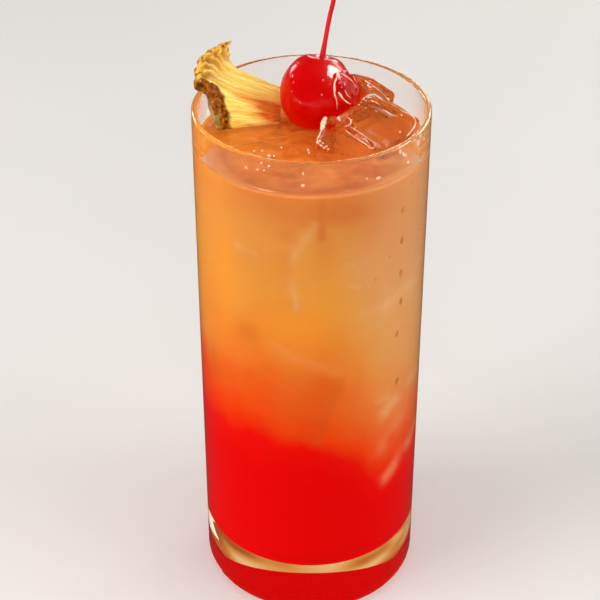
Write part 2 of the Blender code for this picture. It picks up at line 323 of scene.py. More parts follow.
def layer_colour(look, axes):
    """Red at the bottom, amber in the middle and peach at the top, with soft swirls; paler on the right and
    brighter and warmer on the left, which is painted light.
    """
    edge = look.remap(axes["X"], 0.0, 26 * MM, LAYER_EDGE_LEFT, LAYER_EDGE_RIGHT)
    edge = look.plus(edge, look.remap(axes["X"], -14 * MM, -32 * MM, 0.0, LAYER_EDGE_LIFT))
    swirl = look.remap(look.noise(22 * MM, detail=3.0), 0.25, 0.75, -5 * MM, 5 * MM, smooth=False)
    wisp = look.noise(9 * MM, detail=3.0, vector=look.stretched((1.0, 1.0, 0.4)))
    wisp = look.remap(wisp, 0.3, 0.7, -2 * MM, 2 * MM, smooth=False)
    height = look.plus(look.plus(look.maths("SUBTRACT", axes["Z"], edge), swirl), wisp)
    low, high = LAYER_COLOURS[0][0], LAYER_COLOURS[-1][0]
    share = look.remap(height, low * MM, high * MM, smooth=False)
    colour = look.ramp(share, [((rise - low) / (high - low), tint) for rise, tint in LAYER_COLOURS])
    # Painted light: paler on the right and brighter on the left, as the light falls
    right = look.remap(axes["X"], 4 * MM, 30 * MM, 0.0, 0.75)
    colour = look.mix(look.times(right, look.remap(height, 2 * MM, 56 * MM)), colour, (227, 167, 112))
    left = look.remap(axes["X"], -14 * MM, -30 * MM, 0.0, 0.6)
    colour = look.mix(look.times(left, look.remap(height, 12 * MM, 40 * MM)), colour, (250, 158, 62))
    return look.marked(colour, WALL_TINTS)


def surface_colour(look, axes):
    """The upper side: bent streaks and blushes, with painted light: warmer and brighter on the left, paler on
    the right.
    """
    bend = {0: look.place, 1: look.drift(9 * MM, 5 * MM)}
    warped = look.node("VectorMath", bend, operation="ADD").outputs[0]
    current = look.stretched((0.45, 1.2, 1.0), warped)
    top = look.ramp(look.noise(5 * MM, detail=4.0, roughness=0.55, vector=current), SURFACE_COLOURS)
    blush = look.remap(look.noise(9 * MM, detail=2.0, vector=warped), 0.56, 0.70, 0.0, 0.35)
    top = look.mix(blush, top, (218, 90, 26))
    # Painted light: brighter on the left and paler on the right
    top = look.mix(look.remap(axes["X"], -4 * MM, -24 * MM, 0.0, 0.6), top, (250, 152, 48))
    top = look.mix(look.remap(axes["X"], 8 * MM, 26 * MM, 0.0, 0.4), top, (232, 162, 92))
    return look.marked(top, [("shaded", (242, 136, 64))])


def cloudy_look():
    """The juice: its layers at the wall, its streaked upper side, and a painted glow over the glass's floor
    that stands in for light coming in through the base.
    """
    look = Look("cloudy_juice")
    axes = look.node("SeparateXYZ", {"Vector": look.place}).outputs
    upper = look.times(look.attribute("surface"), 0.92)
    colour = look.mix(upper, layer_colour(look, axes), surface_colour(look, axes))
    look.set(Base_Color=colour, Roughness=0.6, Specular_IOR_Level=0.0)
    look.set(Emission_Color=colour, Emission_Strength=look.times(look.attribute("under"), PAINTED_FLOOR_GLOW))
    look.set(Subsurface_Weight=0.4, Subsurface_Radius=(1.0, 0.4, 0.18), Subsurface_Scale=4 * MM)
    look.bump(look.noise(5 * MM, detail=3.0), 0.3 * MM, 0.3)
    return look.material


CHERRY_GLOW = 0.24


def cherry_look():
    """Deep red candied skin; a little glow stands in for the light that passes through the flesh."""
    look = Look("cherry_skin")
    mottle = look.noise(4.5 * MM, detail=3.0)
    colour = look.ramp(mottle, [(0.3, (0.28, 0.0, 0.0, 1)), (0.7, (0.34, 0.0, 0.0, 1))])
    look.set(Base_Color=colour, Roughness=0.4, IOR=1.4, Specular_IOR_Level=0.05)
    look.set(Subsurface_Weight=0.45, Subsurface_Radius=(1.0, 0.05, 0.03), Subsurface_Scale=4.0 * MM)
    look.set(Coat_Weight=0.5, Coat_Roughness=0.02, Coat_IOR=1.4)
    look.set(Emission_Color=(1.0, 0.0, 0.0, 1.0), Emission_Strength=CHERRY_GLOW)
    look.bump(look.noise(2.6 * MM, detail=1.5), 0.10 * MM, 0.5)
    return look.material


def stem_look():
    look = Look("cherry_stem")
    along = look.noise(6 * MM, detail=3.0, vector=look.stretched((1.0, 1.0, 0.25)))
    colour = look.ramp(along, [(0.35, (0.36, 0.004, 0.006, 1)), (0.7, (0.72, 0.008, 0.015, 1))])
    look.set(Base_Color=colour, Roughness=0.25, Coat_Weight=0.6, Coat_Roughness=0.08)
    look.set(Subsurface_Weight=0.2, Subsurface_Radius=(1.0, 0.2, 0.1), Subsurface_Scale=0.6 * MM)
    look.bump(look.noise(0.5 * MM, detail=2.0, vector=look.stretched((1.0, 1.0, 0.12))), 0.08 * MM, 0.6)
    return look.material


FLESH_COLOURS = [
    (0.28, (226, 150, 38)), (0.40, (245, 196, 76)), (0.54, (254, 230, 124)), (0.78, (255, 248, 180)),
]
RIND_COLOURS = [
    (0.32, (46, 20, 1)), (0.46, (112, 56, 4)), (0.6, (168, 96, 12)), (0.78, (224, 168, 66)),
]
PITH_COLOURS = [
    (0.35, (120, 84, 22)), (0.55, (190, 156, 78)), (0.7, (222, 198, 132)),
]


def flesh_colour(look, strip, fibres):
    """Cream fibres with golden patches, valleys darkened as painted shade, a stain and a browned crest."""
    patches = look.noise(1.0, detail=3.0, vector=look.stretched((2.4, 3.4, 1.0), strip))
    golden = look.remap(patches, 0.56, 0.78, 0.0, 0.45)
    flesh = look.mix(golden, look.ramp(fibres, FLESH_COLOURS), (250, 194, 66))
    # Painted shade: darker in the pleats' valleys
    flesh = look.marked(flesh, [("valley", (160, 88, 6))])
    stain = look.times(look.attribute("stain"), look.remap(fibres, 0.36, 0.6, 1.0, 0.85))
    flesh = look.mix(stain, flesh, (214, 84, 2))
    spots = look.noise(1.1 * MM, detail=4.0, roughness=0.6)
    browned = look.mix(look.remap(spots, 0.36, 0.54), (84, 42, 6), (226, 166, 56))
    return look.marked(flesh, [("brown", browned)])


def rind_colour(look):
    bark = look.noise(1.3 * MM, detail=5.0, roughness=0.65)
    return look.marked(look.ramp(bark, RIND_COLOURS), [("pith", look.ramp(bark, PITH_COLOURS))])


def pineapple_look():
    """Dried slice: fibres that run from rind to tip, and a dark rind with pale pith at its low end."""
    look = Look("dried_pineapple")
    directions = {"X": look.attribute("along"), "Y": look.attribute("across")}
    strip = look.node("CombineXYZ", directions).outputs[0]
    fibres = look.noise(1.0, detail=5.0, roughness=0.6, vector=look.stretched((2.2, 34.0, 1.0), strip))
    colour = look.mix(look.attribute("rind"), flesh_colour(look, strip, fibres), rind_colour(look))
    look.set(Base_Color=colour, Roughness=look.remap(fibres, 0.3, 0.7, 0.62, 0.4), Specular_IOR_Level=0.2)
    look.set(Subsurface_Weight=0.3, Subsurface_Radius=(1.0, 0.6, 0.25), Subsurface_Scale=1.6 * MM)
    grain = look.plus(look.times(fibres, 0.7), look.noise(0.7 * MM, detail=4.0))
    look.bump(grain, 0.24 * MM, 0.6)
    return look.material


def drop_look(name, index, clearness, tints, shadow):
    """Nearly clear, with a pale colour that is a painted highlight. Gives the look and its noise."""
    look = Look(name)
    film = look.noise(0.4 * MM)
    look.set(Base_Color=look.mix(film, *tints), Roughness=0.05, IOR=index)
    look.set(Transmission_Weight=clearness, Coat_Weight=1.0, Coat_Roughness=0.02)
    look.let_lamps_through(shadow)
    return look, film


def bubble_look():
    """Thin bubbles, and drops of the drink; their pale cream is a painted highlight."""
    tints = (255, 226, 190), (255, 248, 236)
    look, film = drop_look("bubble_skin", DRINK_INDEX, 0.55, tints, (1.0, 0.95, 0.9, 1.0))
    look.bump(film, 0.02 * MM, 0.3)
    return look.material


def droplet_look():
    """Drops on the cherry; their pink is a painted highlight."""
    tints = (255, 70, 100), (255, 130, 160)
    return drop_look("drop_painted_highlight", 1.4, 0.6, tints, (1.0, 0.6, 0.6, 1.0))[0].material


def wall_mark_look():
    """Air bubbles that cling to the inner wall, a little darker than the juice behind them."""
    look = Look("wall_bubble")
    shade = look.noise(0.8 * MM)
    look.set(Base_Color=look.ramp(shade, [(0.3, (202, 108, 42)), (0.7, (224, 138, 64))]))
    look.set(Roughness=0.3)
    return look.material


def floor_look():
    look = Look("pale_floor")
    cloud = look.noise(0.5, detail=3.0)
    colour = look.ramp(cloud, [(0.3, (0.64, 0.635, 0.63, 1)), (0.7, (0.68, 0.675, 0.67, 1))])
    look.set(Base_Color=colour, Roughness=0.8, Specular_IOR_Level=0.0)
    look.bump(look.noise(0.004, detail=3.0), 0.0002, 0.15)
    return look.material


def linked(name, data):
    made = bpy.data.objects.new(name, data)
    bpy.context.scene.collection.objects.link(made)
    return made


def add_object(name, bm, material, slot=None):
    """An object of the mesh. With a slot it is a piece of the part, and rides on its body."""
    mesh = bpy.data.meshes.new(name)
    bm.normal_update()
    bm.to_mesh(mesh)
    bm.free()
    mesh.materials.append(material)
    mesh.shade_smooth()
    made = linked(name, mesh)
    if slot:
        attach(made, BODY)
    return made


def arc(centre_r, centre_z, radius, start, end, steps):
    """Points of a circular arc in the (r, z) plane, angles in degrees from +r towards +z."""
    angles = [math.radians(start + (end - start) * i / steps) for i in range(steps + 1)]
    return [(centre_r + radius * math.cos(a), centre_z + radius * math.sin(a)) for a in angles]


def straight(first, last, steps):
    """Points between two (r, z) points, without the ends."""
    run, rise = last[0] - first[0], last[1] - first[1]
    shares = [i / steps for i in range(1, steps)]
    return [(first[0] + run * share, first[1] + rise * share) for share in shares]


def lathe(profile, steps, shape=None):
    """A closed turned mesh. The profile starts and ends on the axis; shape may move each point."""
    bm = bmesh.new()
    rings = []
    for r, z in profile:
        ring = []
        for i in range(1 if r == 0.0 else steps):
            angle = 2 * math.pi * i / steps
            place = Vector((r * math.cos(angle), r * math.sin(angle), z))
            ring.append(bm.verts.new(shape(place) if shape else place))
        rings.append(ring)
    for upper, lower in zip(rings, rings[1:]):
        for i in range(steps):
            j = (i + 1) % steps
            corners = [(upper, i), (lower, i), (lower, j), (upper, j)]
            bm.faces.new(list(dict.fromkeys(ring[k % len(ring)] for ring, k in corners)))
    bmesh.ops.recalc_face_normals(bm, faces=bm.faces)
    return bm


def make_glass():
    inner = GLASS_RADIUS - WALL
    corner = FLOOR_CORNER_RADIUS
    heel = HEEL_RADIUS
    lip = WALL / 2
    lip_height = GLASS_HEIGHT - lip
    profile = [(0.0, FLOOR_HEIGHT)]
    profile += straight((0.0, FLOOR_HEIGHT), (inner - corner, FLOOR_HEIGHT), FLOOR_STEPS)
    profile += arc(inner - corner, FLOOR_HEIGHT + corner, corner, -90, 0, GLASS_CORNER_STEPS)
    profile += straight((inner, FLOOR_HEIGHT + corner), (inner, lip_height), GLASS_WALL_STEPS)
    profile += arc(inner + lip, lip_height, lip, 180, 0, ROUND_STEPS)
    profile += straight((GLASS_RADIUS, lip_height), (GLASS_RADIUS, heel), GLASS_WALL_STEPS)
    profile += arc(GLASS_RADIUS - heel, heel, heel, 0, -90, ROUND_STEPS)
    profile.append(((GLASS_RADIUS - heel + UNDERSIDE_RADIUS) / 2, 0.0))
    for i in range(UNDERSIDE_STEPS + 1):
        share = 1 - i / UNDERSIDE_STEPS
        profile.append((UNDERSIDE_RADIUS * share, UNDERSIDE_RISE * (1 - share**2)))
    made = add_object("glass_body", lathe(profile, TURN_STEPS), glass_look(), "clear_glass")
    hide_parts("glass")


# The ice at the surface, and how much each block darkens the juice under it, in the same order
ICE_NODES = ["ice_front_right", "ice_back_right", "ice_front_middle", "ice_front_left"]
ICE_SHADING = [1.0, 0.6, 0.9, 0.1]
# A block that darkens the juice no more than this doesn't push it down
SUNK_SHADING = 0.1
# The block that is almost wholly in the drink, and the one that takes a lighter copy of the ice's look,
# painted light
SUNK_BLOCK = "ice_front_left"
LIGHTER_BLOCK = "ice_back_right"
ICE_VOXEL = 0.38 * MM
ICE_SMOOTHINGS = 2
ICE_SINK = 0.12 * MM
ICE_WAVE = 0.32 * MM
ICE_WAVE_SIZE = 5.5 * MM
# How far from the cherry the ice is tinted red, a painted reflection of the cherry
PAINTED_RED_REACH = 5.0 * MM
ICE_PIT = 0.12 * MM
ICE_PIT_SIZE = 1.4 * MM
RIDGE_RUN = Vector((0.60, -0.80, 0.0))
RIDGE_ACROSS = Vector((0.80, 0.60, 0.0))
RIDGE_LENGTH = 24.0 * MM
RIDGE_WIDTH = 2.0 * MM
RIDGE_HEIGHT = 0.18 * MM
# A groove with sharp lips where two blocks meet; the ice in it is tinted dark, a painted dark reflection
GROOVE_START = mm(9.7, -3.5, 150.8)
GROOVE_END = mm(16.0, -7.9, 148.2)
GROOVE_HALF_WIDTH = 0.8 * MM
GROOVE_DEPTH = 0.40 * MM
# Corners that have melted lower: place, reach and depth
MELTED_CORNERS = [
    (mm(23.8, 13.2, 153.4), 7.0 * MM, 2.8 * MM),
    (mm(20.6, 17.2, 154.2), 7.5 * MM, 2.0 * MM),
]
# Milky bands in the clear ice, pale and partly painted highlight: start, end, reach and strength
MILKY_SHEEN_BANDS = [
    (mm(12.4, -5.6, 150.0), mm(17.8, -9.6, 148.4), 1.2 * MM, 0.55),
    (mm(15.4, -4.6, 150.0), mm(19.6, -8.0, 148.8), 1.3 * MM, 0.45),
    (mm(3.2, -0.6, 150.8), mm(2.2, -7.0, 149.0), 1.4 * MM, 0.45),
    (mm(6.4, 0.6, 152.0), mm(9.4, 2.4, 152.4), 1.3 * MM, 0.40),
    (mm(16.0, 6.0, 153.0), mm(21.5, 2.0, 151.8), 1.0 * MM, 0.35),
]
# The tongue over the cherry: points a little in front of it, its thickness, and how fine and uneven it is
FILM_POINTS = [
    mm(6.4, 7.6, 162.0), mm(9.4, 11.4, 160.9), mm(12.6, 13.4, 157.0), mm(13.1, 11.4, 152.4),
    mm(11.2, 7.8, 151.2), mm(7.2, 3.3, 152.2), mm(6.4, 3.8, 157.7), mm(9.7, 6.3, 157.6),
]
FILM_DEPTH = 3.0 * MM
FILM_VOXEL = 0.22 * MM
FILM_SMOOTHINGS = 3
FILM_WAVES = [(0.28 * MM, 1.7 * MM), (0.112 * MM, 0.7 * MM)]


def apply_modifiers(made):
    graph = bpy.context.evaluated_depsgraph_get()
    mesh = bpy.data.meshes.new_from_object(made.evaluated_get(graph))
    old = made.data
    made.modifiers.clear()
    made.data = mesh
    bpy.data.meshes.remove(old)


def melt_relief(place):
    """Waves, small pits, long ridges and one groove that melting leaves on the ice, in metres."""
    wave = noise.noise(place / ICE_WAVE_SIZE) * ICE_WAVE
    pit = min(noise.noise(place / ICE_PIT_SIZE), 0.0) * ICE_PIT
    along, side = place.dot(RIDGE_RUN), place.dot(RIDGE_ACROSS)
    strip = Vector((along / RIDGE_LENGTH, side / RIDGE_WIDTH, place.z / RIDGE_LENGTH))
    ridge = max(0.0, 1 - 3.5 * abs(noise.noise(strip))) * RIDGE_HEIGHT
    t = groove_distance(place)
    groove = GROOVE_DEPTH * (max(0.0, 1 - t) - 0.5 * max(0.0, 1 - abs(t - 1.35) / 0.4))
    return wave + pit + ridge - groove - ICE_SINK


def film_relief(place):
    return waves_at(place, FILM_WAVES)


def segment_distance(place, start, end):
    """Distance from the straight line between two places."""
    run = end - start
    share = min(max((place - start).dot(run) / run.length_squared, 0.0), 1.0)
    return (place - start - run * share).length


def groove_distance(place):
    """Distance from the groove's middle, as a share of its half width."""
    return segment_distance(place, GROOVE_START, GROOVE_END) / GROOVE_HALF_WIDTH


def milk_and_sheen_share(place):
    """How milky the ice is at the place, 0 to 1; its pale milk is partly painted highlight."""
    shares = []
    for start, end, reach, strength in MILKY_SHEEN_BANDS:
        shares.append(strength * smooth_step(1.0, 0.1, segment_distance(place, start, end) / reach))
    return max(shares)


def painted_red_share(place):
    """How much the ice is tinted red near the cherry at the place, 0 to 1: a painted reflection of the
    cherry's red.
    """
    far = (place - CHERRY_CENTRE).length - CHERRY_RADIUS
    return smooth_step(PAINTED_RED_REACH, 0.35 * PAINTED_RED_REACH, far)


def set_marks(mesh, marks):
    """Stores each list of values under its name, where the material finds it."""
    for name, values in marks.items():
        layer = mesh.attributes.new(name, "FLOAT", "POINT")
        layer.data.foreach_set("value", values)


def melt(made, look, voxel, smoothings, relief):
    """Remeshes a block finely, softens it, lays the relief on it, lowers melted corners and marks it."""
    remesh = made.modifiers.new("Fine", "REMESH")
    remesh.mode = "VOXEL"
    remesh.voxel_size = voxel
    smooth = made.modifiers.new("Soft", "SMOOTH")
    smooth.factor = 0.5
    smooth.iterations = smoothings
    apply_modifiers(made)
    mesh = made.data
    mesh.materials.clear()
    mesh.materials.append(look)
    normals = [v.normal.copy() for v in mesh.vertices]
    for v, normal in zip(mesh.vertices, normals):
        v.co += normal * relief(v.co)
        for corner, reach, depth in MELTED_CORNERS:
            v.co.z -= depth * smooth_step(reach, 0.0, (v.co - corner).length)
    places = [v.co for v in mesh.vertices]
    # Painted reflections of the cherry's red and in the groove, and milky patches that are partly painted
    # highlight
    marks = {
        "syrup": [painted_red_share(place) for place in places],
        "shade": [smooth_step(1.0, 0.4, groove_distance(place)) for place in places],
        "milk": [milk_and_sheen_share(place) for place in places],
    }
    set_marks(mesh, marks)
    mesh.shade_smooth()


def make_film(look):
    """A thin tongue of clear ice that lies over the cherry's right side."""
    bm = bmesh.new()
    for point in FILM_POINTS:
        inward = (CHERRY_CENTRE - point).normalized()
        bm.verts.new(point)
        bm.verts.new(point + inward * FILM_DEPTH)
    hull = bmesh.ops.convex_hull(bm, input=bm.verts)
    bmesh.ops.delete(bm, geom=list(set(hull["geom_interior"] + hull["geom_unused"])), context="VERTS")
    made = add_object("ice_tongue", bm, look, "ice")
    melt(made, look, FILM_VOXEL, FILM_SMOOTHINGS, film_relief)
    return made


def make_ice(node, look):
    """A melted block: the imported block, with wavy faces and small pits."""
    bm = bmesh.new()
    bm.from_mesh(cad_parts[node].data)
    made = add_object(node + "_melting", bm, look, "ice")
    melt(made, look, ICE_VOXEL, ICE_SMOOTHINGS, melt_relief)
    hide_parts(node)
    return made


def cherry_axis():
    back = Matrix.Rotation(-CHERRY_TILT_BACK, 4, "X")
    right = Matrix.Rotation(CHERRY_TILT_RIGHT, 4, "Y")
    return Matrix.Translation(CHERRY_CENTRE) @ right @ back


def make_cherry():
    """A plump cherry with a seam down one side, a dimple for the stem and faint wrinkles."""
    bm = bmesh.new()
    bmesh.ops.create_uvsphere(bm, u_segments=CHERRY_COLUMNS, v_segments=CHERRY_ROWS, radius=1.0)
    for v in bm.verts:
        direction = v.co.copy()
        around = math.atan2(v.co.y, v.co.x)
        seam = 1.0 - SEAM_DEPTH * bell(around, SEAM_WIDTH)
        flat = 1.0 + CHERRY_FLATNESS * math.cos(2 * around)
        out = math.hypot(v.co.x, v.co.y) * CHERRY_RADIUS
        v.co.x *= CHERRY_RADIUS * seam * flat
        v.co.y *= CHERRY_RADIUS * seam
        height = v.co.z * CHERRY_HALF_HEIGHT
        if height > 0:
            height -= DIMPLE_DEPTH * bell(out, DIMPLE_RADIUS)
        v.co.z = height
        v.co += direction * (waves_at(direction, CHERRY_WRINKLES) - WRINKLE_SINK)
    bmesh.ops.transform(bm, matrix=cherry_axis(), verts=bm.verts)
    made = add_object("cherry_fruit", bm, cherry_look(), "cherry_skin")
    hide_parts("cherry")
    return made


def stem_point(along):
    """Middle line of the stem in the cherry's own frame, and its radius there."""
    foot = CHERRY_HALF_HEIGHT - DIMPLE_DEPTH - STEM_SINK
    bend = STEM_BEND * along**2
    thicker = STEM_FOOT_SWELL * bell(along, 0.1) + STEM_END_SWELL * bell(1 - along, 0.06)
    centre = Vector((0.35 * bend, -1.1 * bend, foot + STEM_LENGTH * along))
    return centre, STEM_RADIUS * 0.86 * (1.0 + thicker)


def tube(points, sides):
    """A closed tube through (centre, radius) points, slightly three-sided, with flat ends."""
    bm = bmesh.new()
    rings = []
    for i, (centre, radius) in enumerate(points):
        ahead = points[min(i + 1, len(points) - 1)][0] - points[max(i - 1, 0)][0]
        turn = ahead.to_track_quat("Z", "Y")
        ring = []
        for k in range(sides):
            angle = 2 * math.pi * k / sides
            outward = turn @ Vector((math.cos(angle), math.sin(angle), 0))
            ridge = 1 + 0.07 * math.cos(3 * angle + 1)
            ring.append(bm.verts.new(centre + outward * radius * ridge))
        rings.append(ring)
    for lower, upper in zip(rings, rings[1:]):
        for k in range(sides):
            j = (k + 1) % sides
            bm.faces.new((lower[k], lower[j], upper[j], upper[k]))
    bm.faces.new(rings[0])
    bm.faces.new(rings[-1])
    bmesh.ops.recalc_face_normals(bm, faces=bm.faces)
    return bm


def make_stem():
    points = []
    for i in range(STEM_STEPS + 1):
        along = i / STEM_STEPS
        centre, radius = stem_point(along)
        end = min(1.0, (1 - along) / 0.02)
        wobble = Vector((noise_at(along * 5, 0, 0), noise_at(0, along * 5, 3), 0)) * STEM_WOBBLE
        points.append((centre + wobble * along, radius * (0.35 + 0.65 * math.sqrt(end))))
    bm = tube(points, STEM_SIDES)
    bmesh.ops.transform(bm, matrix=cherry_axis(), verts=bm.verts)
    made = add_object("cherry_stalk", bm, stem_look(), "cherry_stem")
    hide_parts("cherry_stem")


def along_points(points, share):
    """A smooth (Catmull-Rom) point on a list of points, at share 0 to 1."""
    place = min(share, 0.9999) * (len(points) - 1)
    i = int(place)
    t = place - i
    p1, p2 = points[i], points[i + 1]
    p0 = points[i - 1] if i > 0 else p1 * 2 - p2
    p3 = points[i + 2] if i + 2 < len(points) else p2 * 2 - p1
    curved = (p1 * 2) + (p2 - p0) * t
    curved += (p0 * 2 - p1 * 5 + p2 * 4 - p3) * t**2
    curved += (p1 * 3 - p0 - p2 * 3 + p3) * t**3
    return curved / 2


def wedge_middle(u, v):
    """Middle surface of the wedge: u runs from rind to tip, v from the low edge to the high edge."""
    rind = along_points(WEDGE_RIND_ARC, v)
    tip = WEDGE_TIP_LOW.lerp(WEDGE_TIP_HIGH, v)
    straight_edge = WEDGE_RIND_ARC[-1].lerp(WEDGE_TIP_HIGH, u)
    sag = along_points(WEDGE_HIGH_EDGE, u) - straight_edge
    return rind.lerp(tip, u) + sag * v**WEDGE_SAG_RISE


def smooth_step(low, high, value):
    share = min(max((value - low) / (high - low), 0.0), 1.0)
    return share * share * (3 - 2 * share)


WEDGE_PLEATS = 9.0
PLEAT_DEPTH = 1.25 * MM
# Slow folds of the whole slice, its fibres (height, waves along and across, seed) and the rind's crags
WEDGE_FOLD = 0.35 * MM
WEDGE_FIBRES = [(0.20 * MM, 4, 60, 3), (0.09 * MM, 9, 140, 7)]
WEDGE_CRAGS = [(1.0 * MM, 2.4 * MM), (0.55 * MM, 0.9 * MM)]


def wedge_pleat(u, v):
    """The crest's pleats: height, from 0 in a valley to 1 on a sharp ridge, and strength."""
    wander = noise_at(u * 3, v * 4, 8)
    ridge = 1 - abs(math.sin(math.pi * (WEDGE_PLEATS * v + 1.1 * wander - 1.2 * u))) ** 0.7
    strength = bell(u, 0.40) * smooth_step(0.40, 0.62, v)
    return ridge, strength


def wedge_marks(u, v):
    """Where the wedge is rind, browned, stained, darkened in a valley as painted shade, or pale pith, each 0
    to 1.
    """
    ragged = 0.05 * noise_at(v * 9, u * 4, 0) + 0.03 * noise_at(v * 30, u * 12, 0)
    rind = smooth_step(0.29, 0.22, u + ragged) * smooth_step(0.55, 0.49, v + ragged)
    crest = 0.85 * smooth_step(0.08, 0.02, u + 0.6 * ragged)
    end = 0.8 * smooth_step(0.035, 0.0, 1 - v + 0.6 * ragged) * smooth_step(0.42, 0.25, u)
    low = 0.4 * smooth_step(0.05, 0.0, v + ragged)
    smear = 1 + 0.7 * noise_at(u * 2.5, v * 16, 5)
    stain = 1.5 * bell(u - 0.88, 0.22) * bell(v - 0.30, 0.25) * smear
    stain += 0.3 * smooth_step(0.75, 1.0, u) * smooth_step(0.6, 0.2, v)
    stain += 0.55 * bell(u - 0.56, 0.15) * bell(v - 0.46, 0.09) * smear
    ridge, strength = wedge_pleat(u, v)
    pith = 0.85 * smooth_step(0.12, 0.05, u + ragged) * smooth_step(0.24, 0.12, v + 1.5 * ragged)
    return {
        "rind": rind,
        "brown": min(max(crest, end, low), 1.0),
        "stain": min(stain, 0.95),
        "valley": strength * (1 - ridge) * 0.9,
        "pith": pith,
    }


def wedge_relief(u, v, centre, side):
    """The shift of both faces, and the half thickness with fibres and crags, in metres."""
    near_rind = bell(u, RIND_SHARE)
    wander = noise_at(u * 3, v * 4, 0)
    shift = WEDGE_FOLD * math.sin(2 * math.pi * (5 * v + 0.5 * wander)) * (1 - 0.6 * u)
    ridge, strength = wedge_pleat(u, v)
    shift += strength * PLEAT_DEPTH * (ridge - 0.4)
    fibre = sum(high * noise_at(u * a, v * b, side * seed) for high, a, b, seed in WEDGE_FIBRES)
    swell = near_rind * max(0.0, 1 - (v / RIND_END) ** 2)
    thick = WEDGE_THICKNESS * (1 - WEDGE_TAPER * u) + (RIND_THICKNESS - WEDGE_THICKNESS) * swell
    edge = min(v, 1 - v, 1 - u)
    thick *= min(1.0, 0.3 + 7 * edge) * min(1.0, 0.45 + 12 * u + swell)
    rough = max(near_rind, 0.6 * wedge_marks(u, v)["rind"]) * (0.35 + 0.65 * smooth_step(0.75, 0.5, v))
    return shift, thick / 2 + fibre + rough * waves_at(centre, WEDGE_CRAGS)


def ragged_edge(place, big, small, seed):
    """Notches in an edge: how deep they are at a place along it, from 0 up."""
    return max(0.0, noise_at(place * big, seed, 0)) + 0.5 * abs(noise_at(place * small, 2 + 2 * seed, 0))


def wedge_sheet():
    """Places on the wedge's middle surface, by column and row, with ragged edges."""
    sheet = {}
    for i in range(WEDGE_COLUMNS + 1):
        for j in range(WEDGE_ROWS + 1):
            u, v = i / WEDGE_COLUMNS, j / WEDGE_ROWS
            notch = ragged_edge(v, 13, 40, 1)
            inset = (0.012 + 0.05 * notch * smooth_step(0.45, 0.6, v)) * (1 - u)
            drop = 0.01 + 0.035 * ragged_edge(u, 14, 36, 2)
            sheet[i, j] = wedge_middle(u + (1 - u) * inset, v * (1 - drop))
    return sheet


def wedge_face(bm, sheet, side, marks, layers):
    """One face's vertices, by column and row: the front for side 1 and the back for side -1."""
    made = {}
    for (i, j), centre in sheet.items():
        u, v = i / WEDGE_COLUMNS, j / WEDGE_ROWS
        du = sheet[min(i + 1, WEDGE_COLUMNS), j] - sheet[max(i - 1, 0), j]
        dv = sheet[i, min(j + 1, WEDGE_ROWS)] - sheet[i, max(j - 1, 0)]
        normal = du.cross(dv).normalized()
        if normal.y > 0:
            normal = -normal
        shift, out = wedge_relief(u, v, centre, side)
        vert = bm.verts.new(centre + normal * (shift + side * out))
        vert[layers["along"]] = u
        vert[layers["across"]] = v
        for key, value in marks[i, j].items():
            vert[layers[key]] = value
        made[i, j] = vert
    return made


def make_wedge():
    """The dried slice: fibres that run to the tip, pleats at the crest, ragged edges and a craggy rind."""
    sheet = wedge_sheet()
    marks = {(i, j): wedge_marks(i / WEDGE_COLUMNS, j / WEDGE_ROWS) for i, j in sheet}
    bm = bmesh.new()
    keys = ("along", "across", "rind", "brown", "stain", "valley", "pith")
    layers = {key: bm.verts.layers.float.new(key) for key in keys}
    front, back = [wedge_face(bm, sheet, side, marks, layers) for side in (1, -1)]
    columns, rows = WEDGE_COLUMNS, WEDGE_ROWS
    for i in range(columns):
        for j in range(rows):
            square = ((i, j), (i + 1, j), (i + 1, j + 1), (i, j + 1))
            bm.faces.new([front[k] for k in square])
            bm.faces.new([back[k] for k in reversed(square)])
    border = [(i, 0) for i in range(columns)] + [(columns, j) for j in range(rows)]
    border += [(i, rows) for i in range(columns, 0, -1)] + [(0, j) for j in range(rows, 0, -1)]
    for a, b in zip(border, border[1:] + border[:1]):
        bm.faces.new((front[b], front[a], back[a], back[b]))
    bmesh.ops.recalc_face_normals(bm, faces=bm.faces)
    made = add_object("pineapple_slice", bm, pineapple_look(), "pineapple")
    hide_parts("pineapple_wedge")
    return made


# Drink: a clear skin, and inside it the cloudy juice
SKIN_TOP_STEPS = 56
SKIN_WALL_STEPS = 40
MENISCUS_HEIGHT = 0.4 * MM
MENISCUS_WIDTH = 0.8 * MM
RIPPLE = 0.08 * MM
RIPPLE_SIZE = 8.0 * MM
# How the drink rises at what stands out of it: height, width and how far that is looked for
GARNISH_RISE = 0.5 * MM
GARNISH_WIDTH = 0.7 * MM
GARNISH_REACH = 4.0 * MM
SHARP_ANGLE = math.radians(50)


def tree_distance(tree, place):
    """Signed distance to a closed piece: below zero inside it."""
    found, normal, _, far = tree.find_nearest(place)
    return far if (place - found).dot(normal) > 0 else -far


def trees_of(pieces):
    """Search trees, one for each piece."""
    trees = []
    for piece in pieces:
        mesh = piece.data
        trees.append(BVHTree.FromPolygons([v.co for v in mesh.vertices], [p.vertices for p in mesh.polygons]))
    return trees


def nearest_place(trees, place):
    """The place on any of the pieces that is nearest."""
    return min((tree.find_nearest(place) for tree in trees), key=lambda hit: hit[3])[0]


def cut_out(made, piece, distance):
    """Cuts a copy of the piece, grown by distance, out of the made object."""
    mesh = piece.data.copy()
    normals = [v.normal.copy() for v in mesh.vertices]
    for v, normal in zip(mesh.vertices, normals):
        v.co += normal * distance
    cutter = linked("cutter", mesh)
    boolean = made.modifiers.new("Cut", "BOOLEAN")
    boolean.solver = "MANIFOLD"
    boolean.object = cutter
    bpy.context.view_layer.update()
    apply_modifiers(made)
    bpy.data.objects.remove(cutter)
    bpy.data.meshes.remove(mesh)


